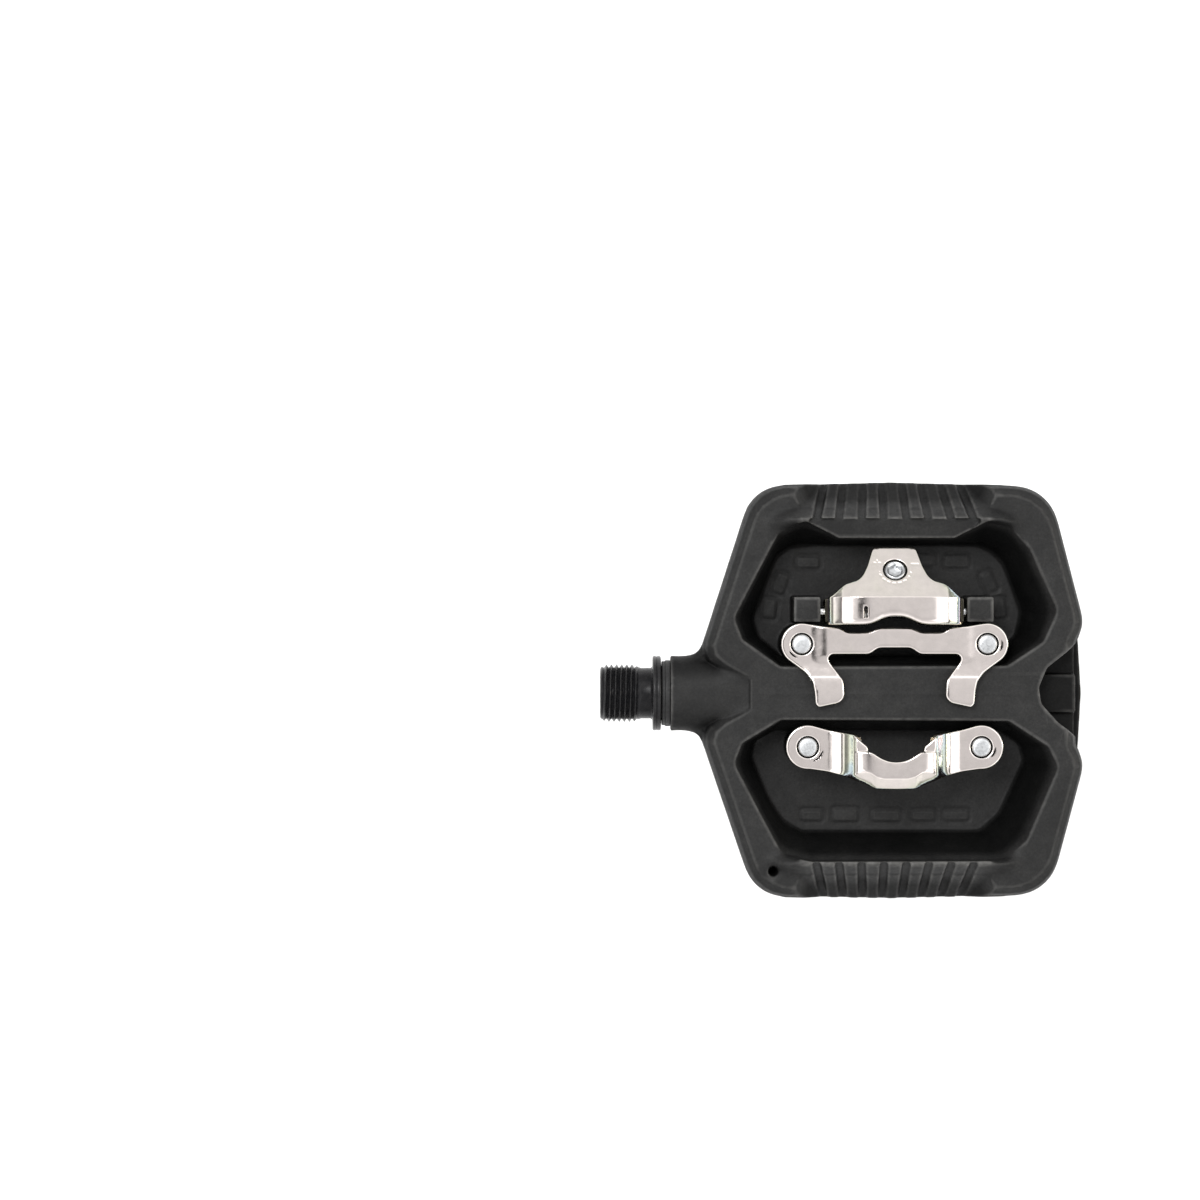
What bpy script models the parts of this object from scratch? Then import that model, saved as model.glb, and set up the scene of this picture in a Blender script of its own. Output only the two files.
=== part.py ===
"""Clipless bicycle pedal with a flat tread side: body, tread pad, cleat hardware, spindle and bearings.

Frame: origin at the centre of the spindle shoulder, +X outboard along the spindle,
+Y to the rear of the pedal, +Z towards the cleat side. Lengths below are millimetres.
"""

import math

import bmesh
import bpy
from mathutils import Matrix, Vector

MM = 0.001
GAP = 0.3                  # clearance to a neighbour that is cut or rested on
NAME = "clipless_pedal"

# --- spindle and cartridge -------------------------------------------------
THREAD_R = 7.14            # 9/16 inch pedal thread
THREAD_END_X = -13.0
NECK_R = 6.45
SEAT_IN_R = 7.5            # the flat ring of the shoulder starts here
FLANGE_R = 9.25
FLANGE_W = 2.1
JOURNAL_R = 4.9
SHAFT_R = 4.6
BEARING_SEAT_R = 2.4
TIP_X = 81.5
KEY_AF = 8.0               # hexagon socket, across flats
KEY_DEPTH = 9.0
TURN_STEPS = 24
BOSS_R = 9.3
BOSS_X, BOSS_END_X = 4.4, 90.0
BORE_R = 7.7
BORE_STEP_X = 26.0
BORE_IN_R = 6.7
BORE_END_X = 84.0
BEARING_X = (66.0, 71.4)   # inboard faces of the two bearings
BEARING_W = 4.6
BALL_R = 0.7
BALL_PLAY = 0.12           # clearance of a ball in its cage
BALL_PITCH_R = 3.95
BALLS = 7

# --- body heights ------------------------------------------------------------
TREAD_Z = -10.0            # face that carries the raised tread bars
BAR_Z = -11.6              # top of the tread bars
BAR_ROOT = 0.4             # how deep their roots reach into the face
PAD_SEAT_Z = -8.2
FRAME_STEP_Z = -3.0
SIDE_Z = 4.5               # where the side walls start to round over
SHOULDER_Z = 7.4
BAND_Z = 9.2               # top of the side bands
CREST_Z = 12.8             # crests of the front and rear grip rims
RIM_RUN, RIM_DROP = 10.4, 14.2   # their ribbed outer slopes
RIMS = (("rear", 1, 43.1, 53.2, 10.2), ("front", -1, 41.9, 51.8, 12.2))  # side, crest y, foot y, ledge z
RIM_LEDGE_Y = 36.5
GROOVES = 8
GROOVE_PITCH = 5.09        # at the middle of the slope
GROOVE_LEAN = 0.82         # how much each pitch narrows from crest to foot
GROOVE_TOP, GROOVE_FLOOR, GROOVE_DEPTH = 2.5, 1.5, 1.0
LOW_RIB = 0.4              # every other rear rib is this much lower
BEAM_Z = 9.21              # just over the side bands, so that no two faces coincide
BEAM_HALF = 6.5
BEAM_EDGE = 1.6            # chamfer along both sides of the beam
BEAM_X, BEAM_END_X = 23.9, 95.5
BOSS_TOP = (9.1, 8.35)     # the boss is flattened on top, from its mouth to the beam
WEB_Z, WEB_TOP, WEB_EDGE = 2.5, 5.0, 1.6   # the webs beside the boss, and their rounded tops
STRAP_HOLE = (29.6, -43.6)
STRAP_R = 1.3
STRAP_WEB = (-3.0, 0.5)    # the material left between its two ends
LUG_NEAR, LUG_FAR = 18.0, 24.6
LUG_FRONT_Y, LUG_REAR_Y, LUG_Z = 17.7, 23.9, 8.5
FLOOR_Z = -6.0
PILLAR_R = 4.9             # the pillars that carry the plates
RECESS_R, RECESS_Z = 4.4, -7.3   # pockets for the screw heads, and how deep they reach
PAD_HOLE_R = 5.0
NOTCH_Z = 0.5
NOTCH_STEP = ((94.0, -4.7, -1), (104.6, 4.7, 2.5))   # the raised middle of the notch floor

# --- cleat hardware ----------------------------------------------------------
CENTRE_X = 59.3
PLATE_T = 1.6
PLATE_Z = 9.5              # underside of the ears
LEG_LIFT = 1.2
LEG_RAMP = (8.2, 4.9)      # the legs rise between these two y
REAR_SCREWS = (22.8, 12.3)
FRONT_SCREWS = (21.3, -13.0)
SCREW_R = 2.5
HEAD_R = 3.5
HEAD_Z = -9.7
HOOP_SECTION = [(7.3, 5.2), (9.7, 4.6), (11.4, 2.4), (13.2, 0.75), (16.0, 0)]   # height, by x
HOOP_LIP = (-20.7, 0.12, 0.55)   # the lip bends down here: y at the centre, its slant, its slope
PIN_Y, PIN_Z, PIN_R = 20.0, 4.3, 1.5
PIN_HALF = 24.2
CLAW_Z = 16.3
CLAW_BEND_Y = 23.8
CLAW_SLOPE = 31.0
ADJ_Y = 30.5               # tension screw, on the sloping tab

# --- outlines (x, y, corner radius) --------------------------------------------
FRAME = [(21.8, -2.2, 1), (16.3, -5.4, 1), (13.2, -8.0, 2), (12.3, -12.0, 2), (25.3, -50.2, 10),
         (59, -50.9, 0), (98.0, -49.8, 11), (106.8, -17, 5), (104.4, -12.4, 0), (104.4, 12.4, 0),
         (106.8, 17, 5), (98.0, 51.2, 11), (59, 52.3, 0), (25.0, 51.4, 10), (12.3, 12.0, 2),
         (13.2, 8.0, 2), (16.3, 5.4, 1), (21.8, 2.2, 1)]
WEB = [(8.5, -9.2, 0), (10.2, -9.6, 0), (11.5, -10.6, 0), (12.4, -12.2, 0), (13.4, -15.0, 0),
       (24, -15.0, 0), (24, 15.0, 0), (13.4, 15.0, 0), (12.4, 12.2, 0), (11.5, 10.6, 0), (10.2, 9.6, 0),
       (8.5, 9.2, 0)]
TREAD = [(36, -50.3, 9), (30, -48.7, 9), (25.6, -44.8, 9), (16.4, -21.2, 4), (15.2, -15.5, 2),
         (24.6, -5.2, 2), (26.3, -1.0, 2), (25.0, 3.6, 2), (17.8, 11.0, 2), (16.0, 16.2, 3),
         (17.4, 24.0, 4), (23.0, 41.5, 9), (29.0, 49.4, 9), (38, 51.6, 9), (59, 52.2, 0),
         (88, 51.0, 9), (95.2, 47.8, 9), (99.4, 42.0, 9), (103.3, 28, 0), (105.8, 14, 0), (106.6, 0, 0),
         (105.8, -14, 0), (103.3, -28, 0), (99.4, -41, 9), (95.2, -46.4, 9), (88, -49.7, 9), (59, -50.8, 0)]
PAD = [(84.1, -34.3, 0), (51.2, -35.1, 0), (34.8, -34.3, 3), (24.1, -31.4, 3), (16.8, -18.3, 3),
       (17.6, -11.7, 2), (25.7, -5.2, 2), (27.5, -1.1, 2), (26.2, 4.0, 2), (19.2, 11.3, 2),
       (17.6, 16.3, 3), (19.2, 24.4, 3), (22.6, 31.6, 3), (32.3, 35.0, 3), (63.6, 36.3, 0), (92.4, 34.6, 3),
       (98.6, 32.0, 2), (102.0, 22, 0), (104.0, 10, 0), (104.5, 0, 0), (103.9, -12, 0), (101.8, -22, 0),
       (98.8, -31.0, 2), (92.5, -33.8, 2)]
POCKET_REAR = [(30.9, 39.7, 2), (37.4, 42.5, 2), (45.6, 38.3, 2), (74.1, 38.3, 2), (82.2, 42.5, 2),
               (88.0, 41.3, 2), (92.8, 35.6, 3), (99.6, 20.5, 3), (96.1, 12.8, 2), (87.1, 6.9, 2),
               (31.3, 6.7, 2), (21.9, 13.4, 2), (19.9, 18.8, 3)]
POCKET_FRONT = [(19.9, -17.2, 3), (21.9, -12.1, 2), (31.5, -6.3, 2), (87.6, -6.6, 2), (97.4, -13.0, 2),
                (99.8, -18.0, 3), (92.0, -36.1, 4), (87.1, -40.8, 3), (39.0, -41.0, 2), (31.8, -39.6, 3),
                (26.0, -28.8, 3)]
FLOOR_REAR = [(30.6, 33.8, 2), (34.4, 36.6, 2), (45.0, 36.8, 2), (74.0, 36.8, 2), (81.4, 36.6, 2),
              (84.8, 35.0, 2), (87.4, 32.2, 3), (91.6, 20.3, 3), (90.4, 14.4, 2), (84.5, 8.5, 2),
              (33.0, 8.3, 2), (26.4, 14.0, 2), (25.1, 18.6, 3)]
FLOOR_FRONT = [(24.9, -16.4, 3), (25.6, -11.9, 2), (33.0, -8.0, 2), (85.0, -8.2, 2), (91.3, -12.8, 2),
               (92.4, -17.0, 3), (86.2, -30.0, 4), (81.3, -34.3, 3), (37.2, -34.3, 2), (32.6, -31.8, 3),
               (29.2, -26.6, 3)]
NOTCH = [(108, 14.0, 0), (104, 12.1, 1), (96.9, 6.4, 2), (94.9, 1.6, 2), (95.5, -2.4, 2), (99.6, -7.0, 1),
         (104, -10.3, 1), (108, -12.4, 0)]

# --- tread: straight bars (x0, y0, x1, y1, width) and shaped blocks --------------
PAD_BARS = [
    (96.2, -29.3, 100.4, -22.0, 1.4), (91.2, -31.4, 99.7, -17.4, 1.2), (85.7, -31.6, 90.4, -23.6, 1.2),
    (74.4, -32.4, 81.9, -19.5, 1.2), (69.4, -32.4, 78.6, -16.4, 3.3), (65.4, -29.3, 75.4, -11.8, 1.2),
    (61.4, -26.7, 76.4, -0.8, 3.3), (58.2, -23.4, 70.6, -2.0, 1.2), (54.3, -20.3, 57.8, -14.2, 1.2),
    (56.6, -16.0, 65.3, -0.9, 3.3), (51.9, -17.2, 54.2, -12.8, 2.8), (54.0, -12.4, 60.6, -0.9, 1.2),
    (63.0, -33.2, 48.6, -20.6, 1.2), (56.7, -33.4, 52.6, -29.9, 1.2), (52.4, -30.1, 45.9, -24.6, 3.3),
    (49.5, -33.2, 43.6, -28.7, 1.3), (37.1, -32.4, 37.1, -22.4, 1.2), (32.3, -32.0, 32.3, -24.6, 3.6),
    (32.1, -25.0, 32.1, -0.8, 1.3), (27.6, -30.8, 27.6, -15.0, 1.3), (46.3, -19.4, 46.3, -12.4, 1.3),
    (46.3, -12.6, 46.3, -0.8, 3.6), (51.0, -11.4, 51.0, -0.8, 1.1), (41.6, -9.0, 41.6, -0.8, 1.1),
    (36.8, -8.8, 36.8, -0.8, 3.6), (99.6, 13.0, 99.6, 26.4, 1.2), (95.1, -9.7, 95.1, 22.0, 1.1),
    (94.9, 22.2, 94.9, 31.4, 3.4), (90.1, 17.0, 90.1, 32.4, 1.1), (85.6, -1.1, 85.6, 25.6, 1.1),
    (85.5, 25.8, 85.5, 33.2, 3.5), (80.9, 17.6, 80.9, 21.4, 3.6), (80.8, 21.2, 80.8, 33.6, 1.2),
    (76.1, 12.7, 76.1, 27.6, 1.1), (71.4, 12.0, 71.4, 29.4, 1.2), (76.4, 2.4, 49.2, 26.2, 3.5),
    (49.4, 26.9, 41.2, 33.9, 1.3), (69.9, 2.2, 34.5, 33.2, 1.3), (62.2, 2.4, 40.5, 21.4, 3.4),
    (41.0, 21.5, 29.0, 32.0, 1.3), (55.5, 2.1, 41.7, 14.9, 1.3), (38.9, 17.2, 28.6, 26.4, 1.3),
    (48.8, 1.9, 41.3, 8.4, 1.3), (32.2, 16.4, 22.2, 25.8, 1.4), (41.2, 2.2, 21.6, 20.4, 3.4),
    (34.7, 1.9, 19.2, 15.4, 1.4), (71.2, 34.0, 58.1, 24.6, 3.3), (64.2, 34.7, 54.6, 27.6, 1.3),
    (56.0, 34.4, 51.0, 30.8, 3.0)]
PAD_BLOCKS = [
    [(92.9, -25.2), (90.9, -25.6), (90.2, -19.6), (94.7, -12.8), (97.6, -15.2)],
    [(82.3, -32.3), (77.7, -32.4), (87.2, -17.0), (87.3, -23.4)],
    [(54.0, -5.9), (53.7, -0.8), (57.2, -0.8)],
    [(44.2, -33.3), (40.9, -33.3), (42.2, -31.2)],
    [(40.2, -29.6), (39.8, -21.2), (41.1, -18.2), (42.3, -17.9), (43.3, -24.2)],
    [(38.8, -22.7), (36.6, -22.7), (34.9, -19.6), (34.9, -18.3), (38.7, -18.6)],
    [(29.2, -15.4), (27.0, -16.4), (25.6, -14.6), (25.6, -6.8), (27.6, -4.6), (28.4, -0.8), (29.2, -0.8)],
    [(24.5, -28.6), (22.4, -26.6), (21.0, -23.9), (20.9, -19.0), (22.2, -18.4), (22.3, -9.4), (23.4, -8.6),
     (23.5, -21.2), (24.7, -21.7)],
    [(19.9, -21.6), (18.3, -17.6), (18.9, -12.6), (19.9, -11.8)],
    [(101.6, -15.4), (97.9, -12.4), (97.9, 16.4), (100.2, 15.0), (101.4, 13.4)],
    [(92.3, -6.8), (88.6, -3.6), (88.6, 18.8), (90.7, 18.2), (92.3, 16.2)],
    [(82.8, 2.0), (79.0, 4.9), (79.0, 6.8), (82.8, 6.6)],
    [(77.8, 27.0), (75.6, 27.4), (74.1, 29.8), (74.1, 31.2), (77.6, 33.9)],
    [(68.5, 15.0), (64.7, 17.6), (64.7, 24.4), (68.3, 27.2)],
    [(29.2, 27.4), (27.2, 26.6), (22.9, 29.2), (25.2, 31.6)]]
BORDER_BARS = [
    (88.3, -45.9, 93.8, -37.2, 1.2), (79.8, -43.0, 84.5, -35.4, 1.2), (71.6, -46.7, 58.9, -36.3, 1.3),
    (57.8, -46.8, 54.4, -43.7, 1.3), (48.9, -45.6, 38.8, -37.1, 1.3), (43.2, -46.6, 36.1, -41.5, 1.4),
    (90.3, 36.4, 90.3, 44.2, 1.2), (60.0, 43.8, 51.0, 37.5, 1.3), (51.0, 48.2, 40.2, 40.6, 1.4),
    (39.3, 37.0, 36.4, 38.4, 1.2), (32.8, 36.3, 27.4, 40.2, 1.2)]
BORDER_BLOCKS = [
    [(93.7, -38.2), (94.6, -34.6), (99.0, -32.2), (98.6, -33.8), (95.4, -38.2)],
    [(86.0, -46.4), (82.6, -46.4), (81.5, -45.2), (87.6, -34.9), (90.5, -34.8), (88.5, -38.8),
     (88.4, -41.0)],
    [(77.6, -41.0), (74.7, -38.5), (76.5, -35.8), (80.9, -35.4)],
    [(80.1, -46.6), (74.6, -46.6), (63.4, -36.5), (73.0, -36.4)],
    [(67.4, -46.6), (63.4, -46.6), (57.2, -41.2), (51.4, -36.4), (53.6, -36.4), (60.2, -42.0),
     (62.0, -42.2)],
    [(54.9, -43.2), (49.9, -43.2), (41.8, -36.4), (46.8, -36.3)],
    [(53.0, -47.2), (47.4, -46.8), (46.6, -45.4), (49.6, -44.6)],
    [(34.3, -38.6), (30.6, -35.4), (34.3, -35.2)],
    [(96.6, 35.4), (93.2, 36.2), (93.1, 44.0), (96.2, 41.0)],
    [(87.6, 36.9), (83.5, 37.2), (83.3, 38.6), (84.6, 40.1), (87.5, 41.3)],
    [(88.7, 45.6), (77.4, 37.4), (72.4, 37.4), (84.2, 46.6), (87.6, 47.2)],
    [(75.4, 47.3), (62.9, 37.6), (57.4, 37.6), (70.0, 48.2)],
    [(61.4, 48.2), (46.3, 37.6), (42.0, 38.3), (55.6, 48.3)]]


def between(low, high, share):
    """The outline that lies a share of the way from low to high, corner by corner, rounded."""
    return inset([tuple(a + (b - a) * share for a, b in zip(p, q)) for p, q in zip(low, high)], 0)


def collection(name, parent):
    made = bpy.data.collections.new(name)
    parent.children.link(made)
    return made


for old in list(bpy.data.objects):
    bpy.data.objects.remove(old)
SCENE = bpy.context.scene.collection
PARTS = collection(NAME, SCENE)
CUTTERS = collection("cutters", SCENE)


def material(name, colour, metallic, roughness):
    made = bpy.data.materials.new(name)
    made.use_nodes = True
    shader = made.node_tree.nodes["Principled BSDF"]
    shader.inputs["Base Color"].default_value = (*colour, 1)
    shader.inputs["Metallic"].default_value = metallic
    shader.inputs["Roughness"].default_value = roughness
    return made


LOOKS = {
    "composite": ((0.022, 0.022, 0.023), 0.0, 0.62),
    "tread": ((0.03, 0.03, 0.029), 0.0, 0.7),
    "plated": ((0.78, 0.76, 0.73), 1.0, 0.12),
    "zinc": ((0.7, 0.7, 0.71), 1.0, 0.3),
    "black_steel": ((0.015, 0.015, 0.017), 0.6, 0.25),
    "bearing_steel": ((0.6, 0.6, 0.62), 1.0, 0.2),
    "bush": ((0.35, 0.24, 0.12), 0.4, 0.45),
    "seal": ((0.012, 0.012, 0.013), 0.0, 0.55),
    "cage": ((0.5, 0.36, 0.18), 0.3, 0.45),
    "spring_steel": ((0.32, 0.32, 0.34), 1.0, 0.3),
}


def smooth(obj):
    """Shades a round piece smooth, with its sharp edges kept."""
    obj.data.shade_smooth()
    obj.data.set_sharp_from_angle(angle=math.radians(35))
    return obj


def own_material(obj, look):
    colour, metallic, roughness = LOOKS[look]
    obj.data.materials.clear()
    obj.data.materials.append(material(obj.name + "_" + look, colour, metallic, roughness))
    return obj


def add(name, mesh, place=PARTS):
    obj = bpy.data.objects.new(name, mesh)
    place.objects.link(obj)
    return obj


def rounded(points):
    """The outline with each corner (x, y, radius) turned into a short arc."""
    out = []
    n = len(points)
    for i, (x, y, radius) in enumerate(points):
        here = Vector((x, y))
        if radius <= 0:
            out.append((x, y))
            continue
        steps = 5 if radius > 5 else 3 if radius > 1.5 else 2
        to_a = (Vector(points[i - 1][:2]) - here)
        to_b = (Vector(points[(i + 1) % n][:2]) - here)
        la, lb = to_a.length, to_b.length
        to_a.normalize()
        to_b.normalize()
        half = math.acos(max(-1, min(1, to_a.dot(to_b)))) / 2
        back = min(radius / math.tan(half), 0.48 * la, 0.48 * lb)
        radius = back * math.tan(half)
        start, end = here + to_a * back, here + to_b * back
        centre = here + (to_a + to_b).normalized() * (radius / math.sin(half))
        for k in range(steps + 1):
            mix = start.lerp(end, k / steps) - centre
            out.append(tuple(centre + mix.normalized() * radius))
    return out


def anticlockwise(points):
    area = sum(points[i - 1][0] * p[1] - p[0] * points[i - 1][1] for i, p in enumerate(points))
    return points if area > 0 else points[::-1]


def inset(points, distance):
    """The corners (x, y, radius) moved inwards by a distance, then rounded."""
    points = anticlockwise(points)
    out = []
    n = len(points)
    for i, (x, y, radius) in enumerate(points):
        a, b, c = Vector(points[i - 1][:2]), Vector((x, y)), Vector(points[(i + 1) % n][:2])
        n1 = Vector((-(b - a).y, (b - a).x)).normalized()
        n2 = Vector((-(c - b).y, (c - b).x)).normalized()
        at = b + (n1 + n2) * (distance / (1 + n1.dot(n2)))
        out.append((at.x, at.y, radius))
    return rounded(out)


def finish_curve(obj, name, look, place):
    """A curve object as a closed mesh object in the same place."""
    bpy.context.view_layer.update()
    depsgraph = bpy.context.evaluated_depsgraph_get()
    mesh = bpy.data.meshes.new_from_object(obj.evaluated_get(depsgraph))
    world = obj.matrix_world.copy()
    bpy.data.objects.remove(obj)
    bm = bmesh.new()
    bm.from_mesh(mesh)
    bmesh.ops.remove_doubles(bm, verts=bm.verts, dist=1e-6)
    bmesh.ops.recalc_face_normals(bm, faces=bm.faces)
    bm.to_mesh(mesh)
    bm.free()
    made = add(name, mesh, place)
    made.matrix_world = world
    return own_material(made, look) if look else made


def plate(name, outlines, z0, z1, look=None, place=PARTS):
    """One or several flat outlines raised from z0 to z1."""
    curve = bpy.data.curves.new(name, "CURVE")
    curve.dimensions = "2D"
    curve.fill_mode = "BOTH"
    curve.extrude = (z1 - z0) / 2 * MM
    for outline in outlines:
        spline = curve.splines.new("POLY")
        spline.points.add(len(outline) - 1)
        for point, (x, y) in zip(spline.points, outline):
            point.co = (x * MM, y * MM, 0, 1)
        spline.use_cyclic_u = True
    obj = add(name + "_outline", curve, place)
    obj.location.z = (z0 + z1) / 2 * MM
    return finish_curve(obj, name, look, place)


def loft(name, rings, look=None, place=PARTS):
    """A solid through rings (outline, z), listed from low to high, all with the same point count."""
    bm = bmesh.new()
    rows = [[bm.verts.new((x * MM, y * MM, z * MM)) for x, y in outline] for outline, z in rings]
    n = len(rows[0])
    for low, high in zip(rows, rows[1:]):
        for i in range(n):
            j = (i + 1) % n
            bm.faces.new((low[i], low[j], high[j], high[i]))
    bm.faces.new(rows[0][::-1])
    bm.faces.new(rows[-1])
    bmesh.ops.recalc_face_normals(bm, faces=bm.faces)
    mesh = bpy.data.meshes.new(name)
    bm.to_mesh(mesh)
    bm.free()
    made = add(name, mesh, place)
    return own_material(made, look) if look else made


def hull(name, points, place=PARTS):
    bm = bmesh.new()
    for p in points:
        bm.verts.new(Vector(p) * MM)
    bmesh.ops.convex_hull(bm, input=bm.verts)
    loose = [v for v in bm.verts if not v.link_faces]
    bmesh.ops.delete(bm, geom=loose, context="VERTS")
    bmesh.ops.recalc_face_normals(bm, faces=bm.faces)
    mesh = bpy.data.meshes.new(name)
    bm.to_mesh(mesh)
    bm.free()
    return add(name, mesh, place)


def rod(name, centre, radius, length, axis="X", sides=TURN_STEPS, look=None, place=PARTS, top=None):
    """A cylinder or cone centred at a point, its axis along X, Y or Z."""
    bm = bmesh.new()
    bmesh.ops.create_cone(bm, cap_ends=True, segments=sides, radius1=radius * MM,
                          radius2=(radius if top is None else top) * MM, depth=length * MM)
    mesh = bpy.data.meshes.new(name)
    bm.to_mesh(mesh)
    bm.free()
    made = add(name, mesh, place)
    made.location = Vector(centre) * MM
    made.rotation_euler = {"X": (0, math.pi / 2, 0), "Y": (-math.pi / 2, 0, 0), "Z": (0, 0, 0)}[axis]
    smooth(made)
    return own_material(made, look) if look else made


def box(name, low, high, look=None, place=PARTS):
    bm = bmesh.new()
    size = Vector(high) - Vector(low)
    bmesh.ops.create_cube(bm, size=1, matrix=Matrix.Diagonal((*(size * MM), 1)))
    mesh = bpy.data.meshes.new(name)
    bm.to_mesh(mesh)
    bm.free()
    made = add(name, mesh, place)
    made.location = (Vector(low) + Vector(high)) / 2 * MM
    return own_material(made, look) if look else made


def turned(name, profile, look, ring=False, steps=TURN_STEPS, place=PARTS):
    """A turned piece on the X axis. profile: (x, radius) points from the outboard end to the inboard end."""
    mesh = bpy.data.meshes.new(name)
    verts = [(r * MM, 0, x * MM) for x, r in profile]
    edges = [(i, i + 1) for i in range(len(verts) - 1)]
    if ring:
        edges.append((len(verts) - 1, 0))
    mesh.from_pydata(verts, edges, [])
    obj = add(name, mesh, place)
    screw = obj.modifiers.new("turn", "SCREW")
    screw.axis = "Z"
    screw.steps = screw.render_steps = steps
    screw.use_merge_vertices = True
    screw.merge_threshold = 1e-5
    screw.use_normal_calculate = True
    obj.rotation_euler = (0, math.pi / 2, 0)
    return own_material(smooth(settled(obj)), look)


def settled(obj):
    """The object with its modifiers made into plain mesh, in the same place."""
    bpy.context.view_layer.update()
    depsgraph = bpy.context.evaluated_depsgraph_get()
    mesh = bpy.data.meshes.new_from_object(obj.evaluated_get(depsgraph))
    bm = bmesh.new()
    bm.from_mesh(mesh)
    bmesh.ops.remove_doubles(bm, verts=bm.verts, dist=1e-6)
    bmesh.ops.recalc_face_normals(bm, faces=bm.faces)
    bm.to_mesh(mesh)
    bm.free()
    obj.modifiers.clear()
    obj.data = mesh
    return obj


def boolean(obj, other, operation):
    """other joins, cuts or limits obj. A cutter is kept, hidden, in its own collection."""
    step = obj.modifiers.new(other.name, "BOOLEAN")
    step.solver = "EXACT"
    step.operation = operation
    step.object = other
    for holder in list(other.users_collection):
        holder.objects.unlink(other)
    CUTTERS.objects.link(other)
    other.hide_render = True
    other.display_type = "WIRE"
    return obj


def cut(obj, *others):
    for other in others:
        boolean(obj, other, "DIFFERENCE")


def join(obj, *others):
    for other in others:
        boolean(obj, other, "UNION")


def arc(x, y, radius, start, end, steps):
    angles = [math.radians(start + (end - start) * k / steps) for k in range(steps + 1)]
    return [(x + radius * math.cos(a), y + radius * math.sin(a)) for a in angles]


def bar(x0, y0, x1, y1, width):
    """A straight tread bar as a four-point outline."""
    along = Vector((x1 - x0, y1 - y0)).normalized()
    side = Vector((-along.y, along.x)) * width / 2
    a, b = Vector((x0, y0)), Vector((x1, y1))
    return anticlockwise([tuple(p) for p in (a + side, a - side, b - side, b + side)])


def four_screws():
    for name, (half, y) in (("rear", REAR_SCREWS), ("front", FRONT_SCREWS)):
        for side, sign in (("inboard", -1), ("outboard", 1)):
            yield name + "_" + side, CENTRE_X + sign * half, y


def raised_bars(name, bars, blocks):
    """The tread bars and blocks of one region, each a plate that is joined on in turn.

    Their tops differ by microns, so that two that touch don't share a face.
    """
    pieces = [bar(*b) for b in bars] + [anticlockwise(b) for b in blocks]
    return [plate("%s_%02d" % (name, i), [outline], BAR_Z - 0.002 * (i % 5), TREAD_Z + BAR_ROOT)
            for i, outline in enumerate(pieces)]


def rim(made, name, sign, crest_y, foot_y, ledge_z):
    """A grip rim on the front or rear edge: a raised crest with a steep outer slope."""
    block = hull(name + "_rim", [(x, sign * y, z) for x, y, z in (
        (40, foot_y, -2), (78.6, foot_y, -2), (33.5, crest_y, CREST_Z), (85, crest_y, CREST_Z),
        (23, 40.5, 6.8), (96.5, 40.5, 6.8), (45, RIM_LEDGE_Y, ledge_z), (74.5, RIM_LEDGE_Y, ledge_z),
        (30, RIM_LEDGE_Y, 2), (90, RIM_LEDGE_Y, 2), (26, 46, 2), (93, 46, 2))])
    boolean(block, plate(name + "_column", [inset(FRAME, 0.05)], -2.5, 20), "INTERSECT")
    join(made, block)
    out_y, out_z = crest_y + RIM_RUN, CREST_Z - RIM_DROP
    cut(made, hull(name + "_slope", [(x, sign * y, z) for x, y, z in (
        (34, crest_y, CREST_Z), (85, crest_y, CREST_Z), (34, crest_y, 19), (85, crest_y, 19),
        (43, out_y, out_z), (76, out_y, out_z), (26, out_y, 16), (93, out_y, 16), (26, out_y, 19),
        (93, out_y, 19))]))


def rim_tool(name, sign, crest_y, across, corners):
    """A cutter along a rim's slope. corners: (x, z) of its section, z being the height over the slope."""
    at = Vector((CENTRE_X + across * GROOVE_PITCH, sign * (crest_y + RIM_RUN / 2), CREST_Z - RIM_DROP / 2))
    along = Vector((-across * GROOVE_LEAN, sign * RIM_RUN, -RIM_DROP)).normalized()
    side = along.cross(Vector((0, sign * RIM_DROP, RIM_RUN))).normalized()
    turn = Matrix((side, along, side.cross(along))).transposed().to_4x4()
    tool = hull(name, [(x, y, z) for x, z in corners for y in (-9.8, 10.5)])
    tool.matrix_world = Matrix.Translation(at * MM) @ turn
    return tool


def rim_grooves(made, name, sign, crest_y):
    wide, narrow = GROOVE_TOP / 2, GROOVE_FLOOR / 2
    section = [(-narrow, -GROOVE_DEPTH), (narrow, -GROOVE_DEPTH), (wide + 0.8, 2), (-wide - 0.8, 2)]
    for k in range(GROOVES):
        cut(made, rim_tool("%s_groove_%d" % (name, k), sign, crest_y, k - (GROOVES - 1) / 2, section))


def rear_ledge(made, crest_y):
    """Leaves the rear ribs standing over the ledge, with every other rib lower."""
    half = GROOVE_PITCH / 2
    for across in (-2, 0, 2):
        section = [(-half, -LOW_RIB), (half, -LOW_RIB), (half, 2), (-half, 2)]
        cut(made, rim_tool("low_rib_%d" % (across + 2), 1, crest_y, across, section))
    half = GROOVES / 2 * GROOVE_PITCH + 0.6
    cut(made, hull("ledge", [(CENTRE_X + sign * x, y, z) for sign in (-1, 1) for x, y, z in (
        (half, crest_y - 0.1, 11.5), (half, crest_y + 0.5, 14), (half, 38, 14), (half - 5.2, 38, 14),
        (half - 4.4, 38.2, 10.5), (half - 4.8, 37, 10.3))]))


def beam():
    """The crossbeam over the bearings, with chamfered long edges."""
    low = BEAM_Z - BEAM_EDGE
    return hull("beam", [(x, sign * y, z) for x in (BEAM_X, BEAM_END_X) for sign in (-1, 1) for y, z in (
        (BEAM_HALF, 0), (BEAM_HALF, low), (BEAM_HALF - BEAM_EDGE, BEAM_Z))])


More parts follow.
